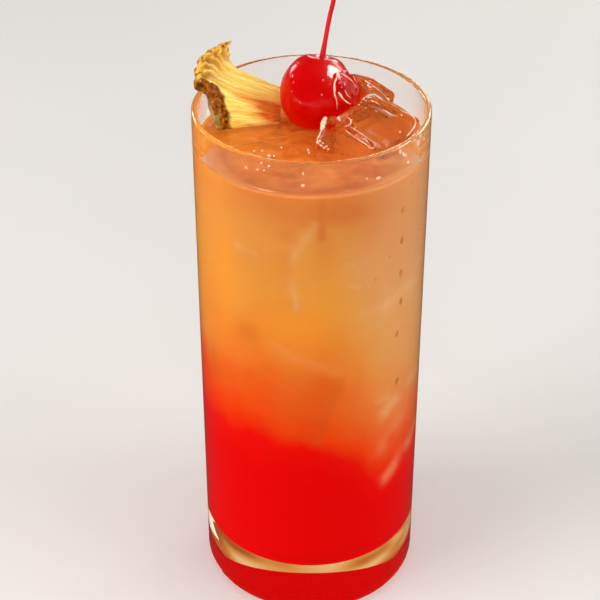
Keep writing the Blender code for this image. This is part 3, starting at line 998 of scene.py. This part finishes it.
def lower_profile(wall, start, bottom, wall_steps, corner_steps):
    """The drink's profile below the height of start: its wall, its round corner and its floor."""
    corner = FLOOR_CORNER_RADIUS
    profile = straight((wall, start), (wall, bottom + corner), wall_steps)
    profile += arc(wall - corner, bottom + corner, corner, 0, -90, corner_steps)
    profile += straight((wall - corner, bottom), (0.0, bottom), FLOOR_STEPS)
    return profile + [(0.0, bottom)]


def make_skin(garnish):
    """The drink's clear form, which rises a little at the wall and at what stands out of it."""
    wall = GLASS_RADIUS - WALL + OVERLAP
    profile = [(0.0, LEVEL)] + straight((0.0, LEVEL), (wall, LEVEL), SKIN_TOP_STEPS) + [(wall, LEVEL)]
    profile += lower_profile(wall, LEVEL, FLOOR_HEIGHT - OVERLAP, SKIN_WALL_STEPS, ROUND_STEPS)
    trees = trees_of(garnish)

    def shape(place):
        if place.z < LEVEL - 0.01 * MM:
            return place
        out = math.hypot(place.x, place.y)
        rise = MENISCUS_HEIGHT * math.exp(-(wall - out) / MENISCUS_WIDTH)
        for tree in trees:
            far = tree.find_nearest(place, GARNISH_REACH)[3]
            if far is not None:
                rise += GARNISH_RISE * math.exp(-far / GARNISH_WIDTH)
        rise = min(rise, MENISCUS_HEIGHT) + RIPPLE * noise.noise(place / RIPPLE_SIZE)
        return place + Vector((0, 0, rise))

    made = add_object("drink_surface", lathe(profile, TURN_STEPS, shape), skin_look(), "orange_layer")
    for piece in garnish:
        cut_out(made, piece, -OVERLAP)
    made.data.shade_smooth()
    made.data.set_sharp_from_angle(angle=SHARP_ANGLE)
    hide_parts("drink_orange_layer", "drink_red_layer")


# Painted glints: pale lines on the ice's edges and cracks that stand in for highlights: radius, and places
# along each, in mm
PAINTED_GLINT_LINES = [
    (0.24, [
        (28.0, 0.8, 150.8), (27.7, -0.1, 150.1), (27.2, -0.9, 149.4), (26.3, -2.0, 148.8),
        (25.2, -3.5, 148.4),
    ]),
    (0.10, [(23.6, 5.2, 151.6), (26.8, 3.6, 151.2), (27.5, 1.7, 151.3), (28.0, 0.8, 150.8)]),
    (0.10, [
        (12.5, 20.4, 154.3), (16.3, 18.5, 154.0), (20.1, 16.4, 153.5), (21.7, 15.2, 152.9),
        (22.0, 14.2, 151.8),
    ]),
    (0.16, [(21.7, 15.2, 152.9), (22.2, 14.2, 151.8), (22.4, 13.6, 151.0)]),
    (0.14, [(7.7, 8.7, 161.2), (9.3, 9.5, 159.9), (11.0, 10.5, 157.9), (12.4, 11.6, 155.3)]),
    (0.45, [(6.6, 8.6, 161.9), (7.0, 8.0, 161.5), (7.4, 7.4, 160.9), (7.6, 7.2, 160.5)]),
    (0.28, [(6.9, 7.6, 161.4), (6.4, 6.0, 159.6), (6.3, 4.6, 157.7), (6.6, 3.7, 156.0)]),
    (0.12, [(6.4, 4.6, 157.9), (6.6, 3.6, 156.3), (6.9, 3.6, 154.5), (6.9, 3.9, 152.4)]),
    (0.34, [(7.1, 4.3, 157.7), (7.7, 4.7, 156.7), (8.5, 5.0, 155.3)]),
    (0.20, [(7.7, 4.7, 156.7), (8.5, 5.0, 155.3), (9.6, 5.9, 153.9), (10.8, 7.7, 152.4)]),
    (0.11, [(9.0, 5.9, 157.6), (9.3, 5.8, 156.7), (9.9, 6.4, 155.5), (10.7, 7.8, 154.2)]),
    (0.70, [(4.0, 1.4, 151.9), (3.5, 0.3, 151.2), (3.1, -1.6, 150.6), (2.7, -3.0, 149.9)]),
    (0.22, [(3.1, -1.6, 150.6), (2.3, -4.0, 149.5), (1.7, -5.2, 148.9), (1.5, -7.0, 148.8)]),
    (0.32, [(7.4, 1.6, 152.0), (7.3, 0.8, 151.9), (7.6, -0.6, 151.6)]),
    (0.14, [
        (9.5, 0.8, 152.0), (10.3, 0.0, 151.9), (10.6, -0.9, 151.5), (10.0, -2.2, 151.2), (8.9, -2.8, 150.9),
    ]),
    (0.09, [
        (10.2, -2.8, 151.0), (11.8, -3.5, 150.4), (13.4, -4.9, 150.0), (14.9, -6.5, 149.6),
        (17.5, -8.8, 148.8),
    ]),
    (0.08, [(8.9, -3.8, 150.6), (10.2, -5.4, 150.3), (11.8, -6.7, 149.7)]),
    (0.14, [(11.8, -6.7, 149.7), (13.3, -8.1, 149.3), (14.9, -9.2, 148.7), (16.6, -9.9, 147.8)]),
    (0.12, [(16.5, 8.3, 153.1), (17.6, 7.8, 153.0), (18.6, 6.6, 152.7)]),
    (0.10, [(19.0, 4.4, 152.4), (20.1, 3.8, 152.3), (21.6, 2.4, 151.8), (23.2, 2.1, 151.7)]),
    (0.13, [(13.6, 9.9, 152.6), (15.0, 11.4, 153.0), (16.4, 11.6, 153.1), (17.4, 10.2, 153.1)]),
]
# Painted glints as pale crumbs, and small air bubbles, on the ice: x, y, z and radius
PAINTED_GLINT_CRUMBS = [
    (1.5, -7.4, 148.9, 0.34), (1.9, -7.9, 148.7, 0.26), (2.3, -7.5, 149.2, 0.30), (2.6, -8.5, 148.5, 0.36),
    (3.1, -8.2, 148.9, 0.24), (3.4, -9.0, 148.1, 0.30), (4.0, -8.8, 148.5, 0.22), (4.4, -9.4, 147.9, 0.26),
    (16.5, 8.3, 153.1, 0.22), (15.6, 10.2, 153.1, 0.28), (14.7, 4.9, 152.7, 0.18), (17.4, 3.6, 152.4, 0.18),
    (20.1, 3.8, 152.3, 0.18), (23.5, -4.1, 150.1, 0.24), (11.8, -2.8, 150.9, 0.15),
    (10.8, -0.3, 151.8, 0.18), (22.2, 14.6, 152.2, 0.26),
]
GLINT_STEPS = 6
GLINT_SMOOTHINGS = 6
GLINT_SIDES = 8
# Half sizes as shares of the radius
CRUMB_SHAPE = (1.3, 0.8, 0.6)
CRUMB_UNEVENNESS = 0.9


def add_glint_line(bm, trees, radius, places):
    """A thin uneven pale tube, a painted glint, that follows the places and lies half sunk in the ice."""
    points = [mm(*place) for place in places]
    count = GLINT_STEPS * (len(points) - 1)
    line = []
    for i in range(count + 1):
        share = i / count
        place = along_points(points, share)
        end = math.sqrt(1 - (2 * share - 1) ** 2)
        uneven = 1 + 0.5 * noise.noise(place / (0.9 * MM))
        line.append((nearest_place(trees, place), radius * MM * uneven * (0.15 + 0.85 * end)))
    for _ in range(GLINT_SMOOTHINGS):
        middles = [(a[0] + c[0]) / 4 + b[0] / 2 for a, b, c in zip(line, line[1:], line[2:])]
        line[1:-1] = [(middle, old[1]) for middle, old in zip(middles, line[1:-1])]
    part = tube(line, GLINT_SIDES)
    mesh = bpy.data.meshes.new("glint_line")
    part.to_mesh(mesh)
    part.free()
    bm.from_mesh(mesh)
    bpy.data.meshes.remove(mesh)


# Pale lines and crumbs on the ice: painted glints that stand in for highlights
def make_painted_glints(pieces):
    bm = bmesh.new()
    trees = trees_of(pieces)
    for radius, places in PAINTED_GLINT_LINES:
        add_glint_line(bm, trees, radius, places)
    for x, y, z, radius in PAINTED_GLINT_CRUMBS:
        found = nearest_place(trees, mm(x, y, z))
        half_sizes = [share * radius for share in CRUMB_SHAPE]
        add_blob(bm, found, half_sizes, polar(50 * x), CRUMB_UNEVENNESS)
    add_object("ice_painted_glints", bm, painted_glint_look(), "ice")


# What shows through the wall, painted on the juice as tone, with azimuths in degrees, and heights and sizes
# in mm
# Sunk ice, painted shade and light: azimuth, height, half width, half height, lean, tone and strength
SUNK_ICE = [
    (-95.3, 79.0, 9.8, 12.5, -16, "dark", 0.36),
    (-112, 119, 8.0, 10.0, 9, "dark", 0.14),
    (-62, 108, 9.0, 8.0, 20, "pale", 0.16),
]
# Patches: azimuth, height, half width, half height, tone and strength
PATCHES = [
    (-79, 140, 13.0, 3.6, "dark", 0.40),
    (-102, 134, 2.6, 2.2, "dark", 0.22),
    (-137, 117, 2.4, 13.0, "amber", 0.55),
    (-96, 106, 9.0, 7.0, "amber", 0.45),
    (-124, 101, 3.6, 3.4, "dark", 0.35),
    (-61, 122, 7.0, 7.0, "pale", 0.22),
    (-150, 85, 3.0, 7.0, "dark", 0.30),
    (-84, 131, 3.0, 9.0, "dark", 0.16),
]
# Streaks of painted light and shade, the pale ones highlights on sunk ice's edges: tone, strength, width and
# places along each
STREAKS = [
    ("pale", 0.22, 1.4, [
        (-89.5, 137.5), (-94.2, 132.9), (-97.5, 129.1), (-98.7, 123.8), (-99.0, 117.9), (-97.6, 111.9),
    ]),
    ("pale", 0.45, 0.7, [(-97.9, 115.7), (-97.6, 112.3)]),
    ("dark", 0.36, 1.5, [(-86.0, 144.0), (-85.2, 133.8)]),
    ("pale", 0.24, 1.2, [(-128.1, 127.6), (-118.3, 127.0)]),
    ("pale", 0.38, 2.8, [(-20.8, 112.8), (-26.9, 110.2), (-40.0, 108.5), (-52.0, 107.6), (-62.2, 109.7)]),
    ("pale", 0.18, 1.3, [(-72.8, 124.4), (-63.4, 122.6), (-52.7, 119.4)]),
    ("pale", 0.18, 1.3, [(-70.1, 118.2), (-60.2, 115.1), (-46.3, 112.8)]),
    ("pale", 0.16, 1.2, [(-108.8, 98.9), (-102.6, 97.2)]),
    ("pale", 0.10, 1.6, [(-110.0, 96.4), (-95.6, 95.0), (-83.1, 92.2), (-74.4, 90.2)]),
    ("pale", 0.30, 2.2, [
        (-12.0, 76.4), (-20.0, 75.2), (-28.0, 75.4), (-36.0, 73.6), (-43.0, 73.2), (-49.5, 70.4),
    ]),
    ("pale", 0.16, 1.4, [(-43.0, 73.2), (-47.0, 76.0), (-52.0, 76.5)]),
    ("pale", 0.24, 2.4, [(-14.0, 55.0), (-24.0, 52.4), (-32.3, 52.2), (-38.4, 48.9), (-46.2, 46.6)]),
    ("pale", 0.12, 3.5, [(-34.0, 66.0), (-42.0, 62.0), (-50.0, 59.0)]),
]
TONES = ("pale", "dark", "amber")
# The front wall's marks are repeated on the back wall
TURNS = (0.0, 180.0)
SUNK_ICE_EDGE = 1.6
JUICE_STEPS = 300
JUICE_TOP_STEPS = 44
JUICE_SHOULDER_STEPS = 6
JUICE_WALL_STEPS = 180
JUICE_CORNER_STEPS = 12
JUICE_WALL = GLASS_RADIUS - WALL + JUICE_OVERLAP
# How far the juice lies under the clear top, and how much further under the ice
CLEAR_DEPTH = 3.0 * MM
ICE_DEPTH = 3.5 * MM
JUICE_LUMPS = [(1.2 * MM, 8 * MM), (0.48 * MM, 2.6 * MM)]
JUICE_SHOULDER = 0.6 * MM
JUICE_TOP = LEVEL - 0.3 * MM


def across(azimuth, middle):
    """Distance in mm along the wall from the middle azimuth, in degrees, the short way round."""
    turn = (azimuth - middle + 180) % 360 - 180
    return np.radians(turn) * JUICE_WALL / MM


def soft_step(low, high, value):
    share = np.clip((value - low) / (high - low), 0.0, 1.0)
    return share * share * (3 - 2 * share)


def sunk_ice_tone(s, t, half_width, half_height, lean, wobble):
    """A faint block that leans, clearer towards its right, at s and t mm from its middle."""
    c, k = math.cos(math.radians(lean)), math.sin(math.radians(lean))
    a, b = s * c + t * k, t * c - s * k
    inside = -np.maximum(np.abs(a) - half_width, np.abs(b) - half_height) + 0.6 * wobble
    return np.clip(0.55 + 0.45 * a / half_width, 0.1, 1.0) * soft_step(-0.5, SUNK_ICE_EDGE, inside)


def streak_tone(azimuth, height, turn, width, places, wobble):
    """A soft line along the places, broken up by the wobble."""
    nearest = np.full_like(azimuth, 1e6)
    for (a0, z0), (a1, z1) in zip(places, places[1:]):
        s, t = across(azimuth, a0 + turn), height - z0
        run, rise = across(a1, a0), z1 - z0
        share = np.clip((s * run + t * rise) / (run**2 + rise**2), 0.0, 1.0)
        nearest = np.minimum(nearest, np.hypot(s - share * run, t - share * rise))
    return np.exp(-((nearest / width) ** 2)) * np.clip(1 + 1.8 * wobble, 0.15, 1.5)


def wall_tones(azimuth, height, wobble):
    """The juice's tones at azimuths and heights on the wall."""
    tones = {tone: np.zeros_like(azimuth) for tone in TONES}
    marks = []
    for turn in TURNS:
        for middle, level, half_width, half_height, lean, tone, strength in SUNK_ICE:
            s, t = across(azimuth, middle + turn), height - level
            marks.append((tone, strength, sunk_ice_tone(s, t, half_width, half_height, lean, wobble)))
        for middle, level, half_width, half_height, tone, strength in PATCHES:
            s, t = across(azimuth, middle + turn), height - level
            far = (s / half_width) ** 2 + (t / half_height) ** 2
            marks.append((tone, strength, np.exp(-far * (1 + 0.3 * wobble))))
        for tone, strength, width, places in STREAKS:
            marks.append((tone, strength, streak_tone(azimuth, height, turn, width, places, wobble)))
    for tone, strength, mark in marks:
        tones[tone] = np.maximum(tones[tone], strength * mark)
    return tones


def juice_profile():
    edge = JUICE_WALL - JUICE_SHOULDER
    start = JUICE_TOP - JUICE_SHOULDER
    bottom = FLOOR_HEIGHT - JUICE_OVERLAP
    profile = [(0.0, JUICE_TOP)] + straight((0.0, JUICE_TOP), (edge, JUICE_TOP), JUICE_TOP_STEPS)
    profile += arc(edge, start, JUICE_SHOULDER, 90, 0, JUICE_SHOULDER_STEPS)
    return profile + lower_profile(JUICE_WALL, start, bottom, JUICE_WALL_STEPS, JUICE_CORNER_STEPS)


def make_juice(ice_pieces, shading):
    """The cloudy body: it reaches into the wall, and dips under the clear top and round the ice."""
    made = add_object("juice_body", lathe(juice_profile(), JUICE_STEPS), cloudy_look(), "orange_layer")
    mesh = made.data
    count = len(mesh.vertices)
    flat = np.empty(count * 3)
    mesh.vertices.foreach_get("co", flat)
    co = flat.reshape(count, 3)
    out = np.hypot(co[:, 0], co[:, 1])
    azimuth = np.degrees(np.arctan2(co[:, 1], co[:, 0]))
    height = co[:, 2] / MM
    wobble = np.array([noise.noise(Vector(place) / (6 * MM)) for place in co])
    side = soft_step(JUICE_WALL - 2.5 * MM, JUICE_WALL - 0.4 * MM, out)
    tones = {tone: values * side for tone, values in wall_tones(azimuth, height, wobble).items()}
    lid = soft_step(LEVEL / MM - 2.6, LEVEL / MM - 0.6, height)
    middle = 1 - soft_step(JUICE_WALL - 5 * MM, JUICE_WALL - 1.0 * MM, out)
    lumps, under_ice, shade = np.zeros((3, count))
    trees = trees_of(ice_pieces)
    for i in np.nonzero(lid > 0)[0]:
        place = Vector(co[i])
        shares = [soft_step(2.5, -1.0, tree_distance(tree, place) / MM) for tree in trees]
        under_ice[i] = max(share * (strength > SUNK_SHADING) for share, strength in zip(shares, shading))
        shade[i] = max(share * strength for share, strength in zip(shares, shading))
        lumps[i] = waves_at(Vector((place.x, place.y, 0)), JUICE_LUMPS)
    co[:, 2] -= lid * middle * (CLEAR_DEPTH + lumps + ICE_DEPTH * under_ice)
    tones["shaded"] = shade * lid * middle
    tones["surface"] = lid * (1 - side)
    # Where the painted glow over the glass's floor lies
    tones["under"] = soft_step(FLOOR_HEIGHT / MM + 5.0, FLOOR_HEIGHT / MM + 1.0, height)
    mesh.vertices.foreach_set("co", co.ravel())
    set_marks(mesh, {tone: np.clip(values, 0, 1) for tone, values in tones.items()})
    mesh.update()


# Bubbles on the wall: azimuth, height, half width, half height
WALL_DOTS = [
    (-40.4, 135.8, 0.60, 0.9), (-40.2, 126.5, 0.70, 1.2), (-39.9, 116.0, 0.74, 1.3),
    (-39.0, 106.6, 0.68, 1.2), (-41.1, 96.3, 0.64, 1.1), (-39.5, 79.6, 0.68, 1.2),
    (-23.4, 125.2, 0.24, 0.5), (-48.5, 123.2, 0.24, 0.4), (-56.9, 118.0, 0.22, 0.4),
    (-63.4, 86.2, 0.22, 0.6), (-27.0, 137.7, 0.22, 0.5), (-33.7, 142.3, 0.22, 0.5),
]
# Drops on the inner wall over the drink: azimuth, height, half width, half height
WALL_DROPS = [
    (-94.2, 149.2, 0.42, 0.5), (-57.2, 148.7, 0.75, 0.36), (-43.7, 153.8, 0.36, 0.6),
    (-39.9, 151.9, 0.5, 0.5), (-41.5, 152.6, 0.34, 0.7), (-37.1, 149.2, 0.42, 0.42),
    (-28.6, 152.8, 0.30, 0.9), (-22.2, 152.3, 0.36, 0.36), (-94.2, 152.6, 0.24, 0.5),
]
# Bubbles on the drink, pale as painted highlights: x, y, radius
SURFACE_BUBBLES = [
    (-11.2, -11.0, 0.50), (-9.9, -11.1, 0.36), (-8.0, -6.6, 0.30), (-15.2, -8.0, 0.32), (-13.1, -8.0, 0.28),
    (-13.2, -16.0, 0.32), (-14.1, -18.1, 0.36), (-12.4, -18.5, 0.28), (-11.2, -17.2, 0.42),
    (-11.5, -14.4, 0.26), (-17.1, -17.0, 0.40), (-0.9, -6.7, 0.46), (-0.6, -8.2, 0.34), (24.2, 2.7, 0.34),
    (14.0, -22.0, 0.30), (-20.5, 2.0, 0.30), (-3.0, 24.0, 0.34), (4.5, 26.0, 0.28), (-12.0, 23.5, 0.30),
]
# How far bubbles and drops stand out of the wall, in mm, and the place and half sizes of one glint
WALL_DOT_BULGE = 0.16
WALL_DROP_BULGE = 0.35
WALL_GLINT = (-60.8, 116.2, (0.2, 0.28, 0.28))
# Half sizes as shares of the radius
BUBBLE_SHAPE = (0.8, 0.8, 0.68)
CHERRY_DROP_SHAPE = (0.3, 0.7, 0.9)
# Drops on the cherry, pink as painted highlights: azimuth, elevation, radius
CHERRY_DROPS = [
    (-150, 42, 0.46), (-141, 34, 0.34), (-137, 21, 0.34), (-118, 8, 0.36), (-82, 23, 0.46), (-77, 45, 0.34),
    (-64, 38, 0.30), (60, 30, 0.42), (95, 15, 0.36), (140, 36, 0.40),
]


def add_blob(bm, place, half_sizes, turn, unevenness=0.10):
    """A small rounded blob with three half sizes in mm, slightly uneven."""
    sizes = [size * MM for size in half_sizes]
    made = bmesh.ops.create_icosphere(bm, subdivisions=3, radius=1.0)
    for v in made["verts"]:
        uneven = 1 + unevenness * noise.noise(v.co * 1.3 + place / MM)
        v.co = place + turn @ Vector([size * axis * uneven for size, axis in zip(sizes, v.co)])


def add_wall_blob(bm, wall, azimuth, height, half_sizes):
    """A blob on the wall. The sizes run outward, along the wall and up."""
    facing = polar(azimuth)
    add_blob(bm, facing @ Vector((wall, 0, 0)) + mm(0, 0, height), half_sizes, facing)


def polar(azimuth, elevation=0.0):
    """A turn whose x axis points at the azimuth and elevation, both in degrees."""
    return Matrix.Rotation(math.radians(azimuth), 3, "Z") @ Matrix.Rotation(-math.radians(elevation), 3, "Y")


def make_wall_dots():
    bm = bmesh.new()
    for turn in TURNS:
        for azimuth, height, half_width, half_height in WALL_DOTS:
            add_wall_blob(bm, JUICE_WALL, azimuth + turn, height, (WALL_DOT_BULGE, half_width, half_height))
    add_object("wall_bubbles", bm, wall_mark_look(), "orange_layer")


def make_drops(look):
    """Clear drops on the inner wall over the drink, and one glint in front of the juice."""
    bm = bmesh.new()
    wall = GLASS_RADIUS - WALL + 0.05 * MM
    for azimuth, height, half_width, half_height in WALL_DROPS:
        add_wall_blob(bm, wall, azimuth, height, (WALL_DROP_BULGE, half_width, half_height))
    add_wall_blob(bm, JUICE_WALL, *WALL_GLINT)
    add_object("wall_drops", bm, look, "orange_layer")


def make_surface_bubbles(look, floating_on):
    """Bubbles that float where the drink, or the ice that stands out of it, is highest."""
    bm = bmesh.new()
    trees = trees_of(floating_on)
    for x, y, radius in SURFACE_BUBBLES:
        hits = [tree.ray_cast(mm(x, y, 175.0), Vector((0, 0, -1)))[0] for tree in trees]
        level = max([LEVEL] + [hit.z for hit in hits if hit])
        half_sizes = [share * radius for share in BUBBLE_SHAPE]
        place = Vector((x * MM, y * MM, level + 0.35 * half_sizes[0] * MM))
        add_blob(bm, place, half_sizes, polar(40 * x))
    add_object("surface_bubbles", bm, look, "orange_layer")


def make_cherry_drops(cherry):
    bm = bmesh.new()
    tree = trees_of([cherry])[0]
    for azimuth, elevation, radius in CHERRY_DROPS:
        facing = polar(azimuth, elevation)
        outward = facing @ Vector((1, 0, 0))
        hit = tree.ray_cast(CHERRY_CENTRE + outward * 30 * MM, -outward)[0]
        add_blob(bm, hit, [share * radius for share in CHERRY_DROP_SHAPE], facing)
    add_object("cherry_drops", bm, droplet_look(), "cherry_skin")


def make_floor():
    bm = bmesh.new()
    bmesh.ops.create_grid(bm, x_segments=8, y_segments=8, size=4.0)
    made = add_object("floor", bm, floor_look())
    made.location.z = -0.2 * MM
    made.visible_glossy = False


# Lamps: name, azimuth, elevation, distance, width, height, watts, colour and the rays that see them
LAMPS = [
    ("soft_left", -158, 20, 1.3, 0.8, 0.8, 16.0, (1, 0.96, 0.92), "diffuse"),
    ("soft_right", -20, 20, 1.3, 0.8, 0.8, 9.0, (1, 0.97, 0.94), "diffuse"),
    ("front", -90, 10, 1.5, 1.0, 0.8, 8.0, (1, 0.97, 0.94), "diffuse"),
    ("back_right", 57, 24, 1.0, 0.6, 0.3, 2.0, (1, 0.95, 0.88), "diffuse"),
    ("top", 90, 88, 1.1, 0.7, 0.7, 3.4, (1, 0.98, 0.95), "diffuse"),
    ("cherry_glint", 10, 46, 1.0, 0.60, 0.56, 60.0, (1, 0.90, 0.80), "glossy"),
    ("rim_glint", 46, 26, 1.0, 0.6, 0.3, 6.0, (1, 0.94, 0.86), "glossy"),
    ("side_glint", 8, 24, 1.0, 0.2, 0.3, 2.4, (1, 0.94, 0.86), "glossy"),
    ("ice_glint", 80, 13, 1.0, 0.5, 0.1, 2.0, (1, 0.95, 0.9), "glossy"),
    ("edge_glint", 131, 17, 1.0, 0.3, 0.2, 2.3, (1, 0.95, 0.9), "glossy"),
    ("left_glint", 153, 17, 1.0, 0.1, 0.16, 0.6, (1, 0.9, 0.95), "glossy"),
    ("base_glow", 27, 26, 1.0, 0.3, 0.35, 0.4, (1, 0.93, 0.85), "transmission"),
]
LAMP_AIM = mm(0, 0, 90)
# The surround seen directly, mirrored, and bent through the glass's base, where it has clouds
WORLD_COLOUR = (0.45, 0.44, 0.425, 1)
WORLD_MIRRORED = (0.055, 0.052, 0.05, 1)
WORLD_THROUGH = [
    (0.36, (0.40, 0.10, 0.015, 1)), (0.5, (0.74, 0.32, 0.07, 1)), (0.64, (0.88, 0.54, 0.24, 1)),
]
WORLD_CLOUD = 0.42
# Light crosses many surfaces of glass, drink and ice
BOUNCES = 24
SHADOW_BOUNCES = 16


def area_light(name, azimuth, elevation, distance, width, height, watts, colour, rays):
    data = bpy.data.lights.new(name, "AREA")
    data.shape = "RECTANGLE"
    data.size, data.size_y = width, height
    data.energy = watts
    data.color = colour
    made = linked(name, data)
    outward = polar(azimuth, elevation) @ Vector((1, 0, 0))
    made.location = LAMP_AIM + outward * distance
    made.rotation_euler = (-outward).to_track_quat("-Z", "Y").to_euler()
    made.visible_diffuse = rays == "diffuse"
    made.visible_glossy = rays == "glossy"
    made.visible_transmission = rays == "transmission"
    return made


def soft_world():
    """A pale surround, mirrored faintly. Seen bent, through the glass's heavy base, it has amber clouds."""
    look = Surround("soft_world")
    path = look.node("LightPath").outputs
    bent = path["Is Transmission Ray"]
    mirrored = look.maths("SUBTRACT", path["Is Glossy Ray"], bent)
    seen_direct = look.maths("LESS_THAN", path["Diffuse Depth"], 0.5)
    clouds = look.ramp(look.noise(WORLD_CLOUD, detail=1.0), WORLD_THROUGH)
    colour = look.mix(mirrored, WORLD_COLOUR, WORLD_MIRRORED)
    colour = look.mix(look.times(bent, seen_direct), colour, clouds)
    look.set(Color=colour, Strength=1.0)
    bpy.context.scene.world = look.world


def light_studio(cherry):
    """The lamps and the surround. The large cherry glint lights the cherry alone."""
    lamps = {name: area_light(name, *settings) for name, *settings in LAMPS}
    group = bpy.data.collections.new("cherry_glint")
    group.objects.link(cherry)
    lamps["cherry_glint"].light_linking.receiver_collection = group
    soft_world()


def place_camera():
    data = bpy.data.cameras.new("camera")
    data.sensor_width = CAMERA_SENSOR
    data.lens = CAMERA_LENS
    data.clip_start = 0.01
    made = linked("camera", data)
    made.location = CAMERA_PLACE
    made.rotation_euler = (CAMERA_PITCH, 0, 0)
    bpy.context.scene.camera = made


def main():
    bpy.context.scene.view_settings.view_transform = "Standard"
    cycles = bpy.context.scene.cycles
    cycles.max_bounces = BOUNCES
    cycles.glossy_bounces = BOUNCES
    cycles.transmission_bounces = BOUNCES
    cycles.transparent_max_bounces = SHADOW_BOUNCES
    cycles.caustics_reflective = False
    place_camera()
    make_floor()
    make_glass()
    ice = ice_look("clear_ice", ICE_INDEX, (0.99, 0.965, 0.93, 1.0), (0.88, 0.81, 0.74, 1.0))
    # A lighter copy of the clear ice for one block: painted light
    thin = ice_look("lighter_ice_copy", ICE_INDEX, (1.0, 0.98, 0.95, 1.0), (0.96, 0.93, 0.90, 1.0))
    sunk = ice_look("sunk_ice", SUNK_INDEX, (1.0, 0.985, 0.97, 1.0), (0.97, 0.95, 0.92, 1.0))
    looks = {SUNK_BLOCK: sunk, LIGHTER_BLOCK: thin}
    blocks = [make_ice(node, looks.get(node, ice)) for node in ICE_NODES]
    cherry = make_cherry()
    make_stem()
    tongue = make_film(ice)
    make_painted_glints(blocks + [tongue])
    wedge = make_wedge()
    standing_out = [block for block, node in zip(blocks, ICE_NODES) if node != SUNK_BLOCK]
    make_skin(standing_out + [cherry, wedge])
    make_juice(blocks, ICE_SHADING)
    make_wall_dots()
    bubble = bubble_look()
    make_drops(bubble)
    make_surface_bubbles(bubble, blocks)
    make_cherry_drops(cherry)
    light_studio(cherry)


main()
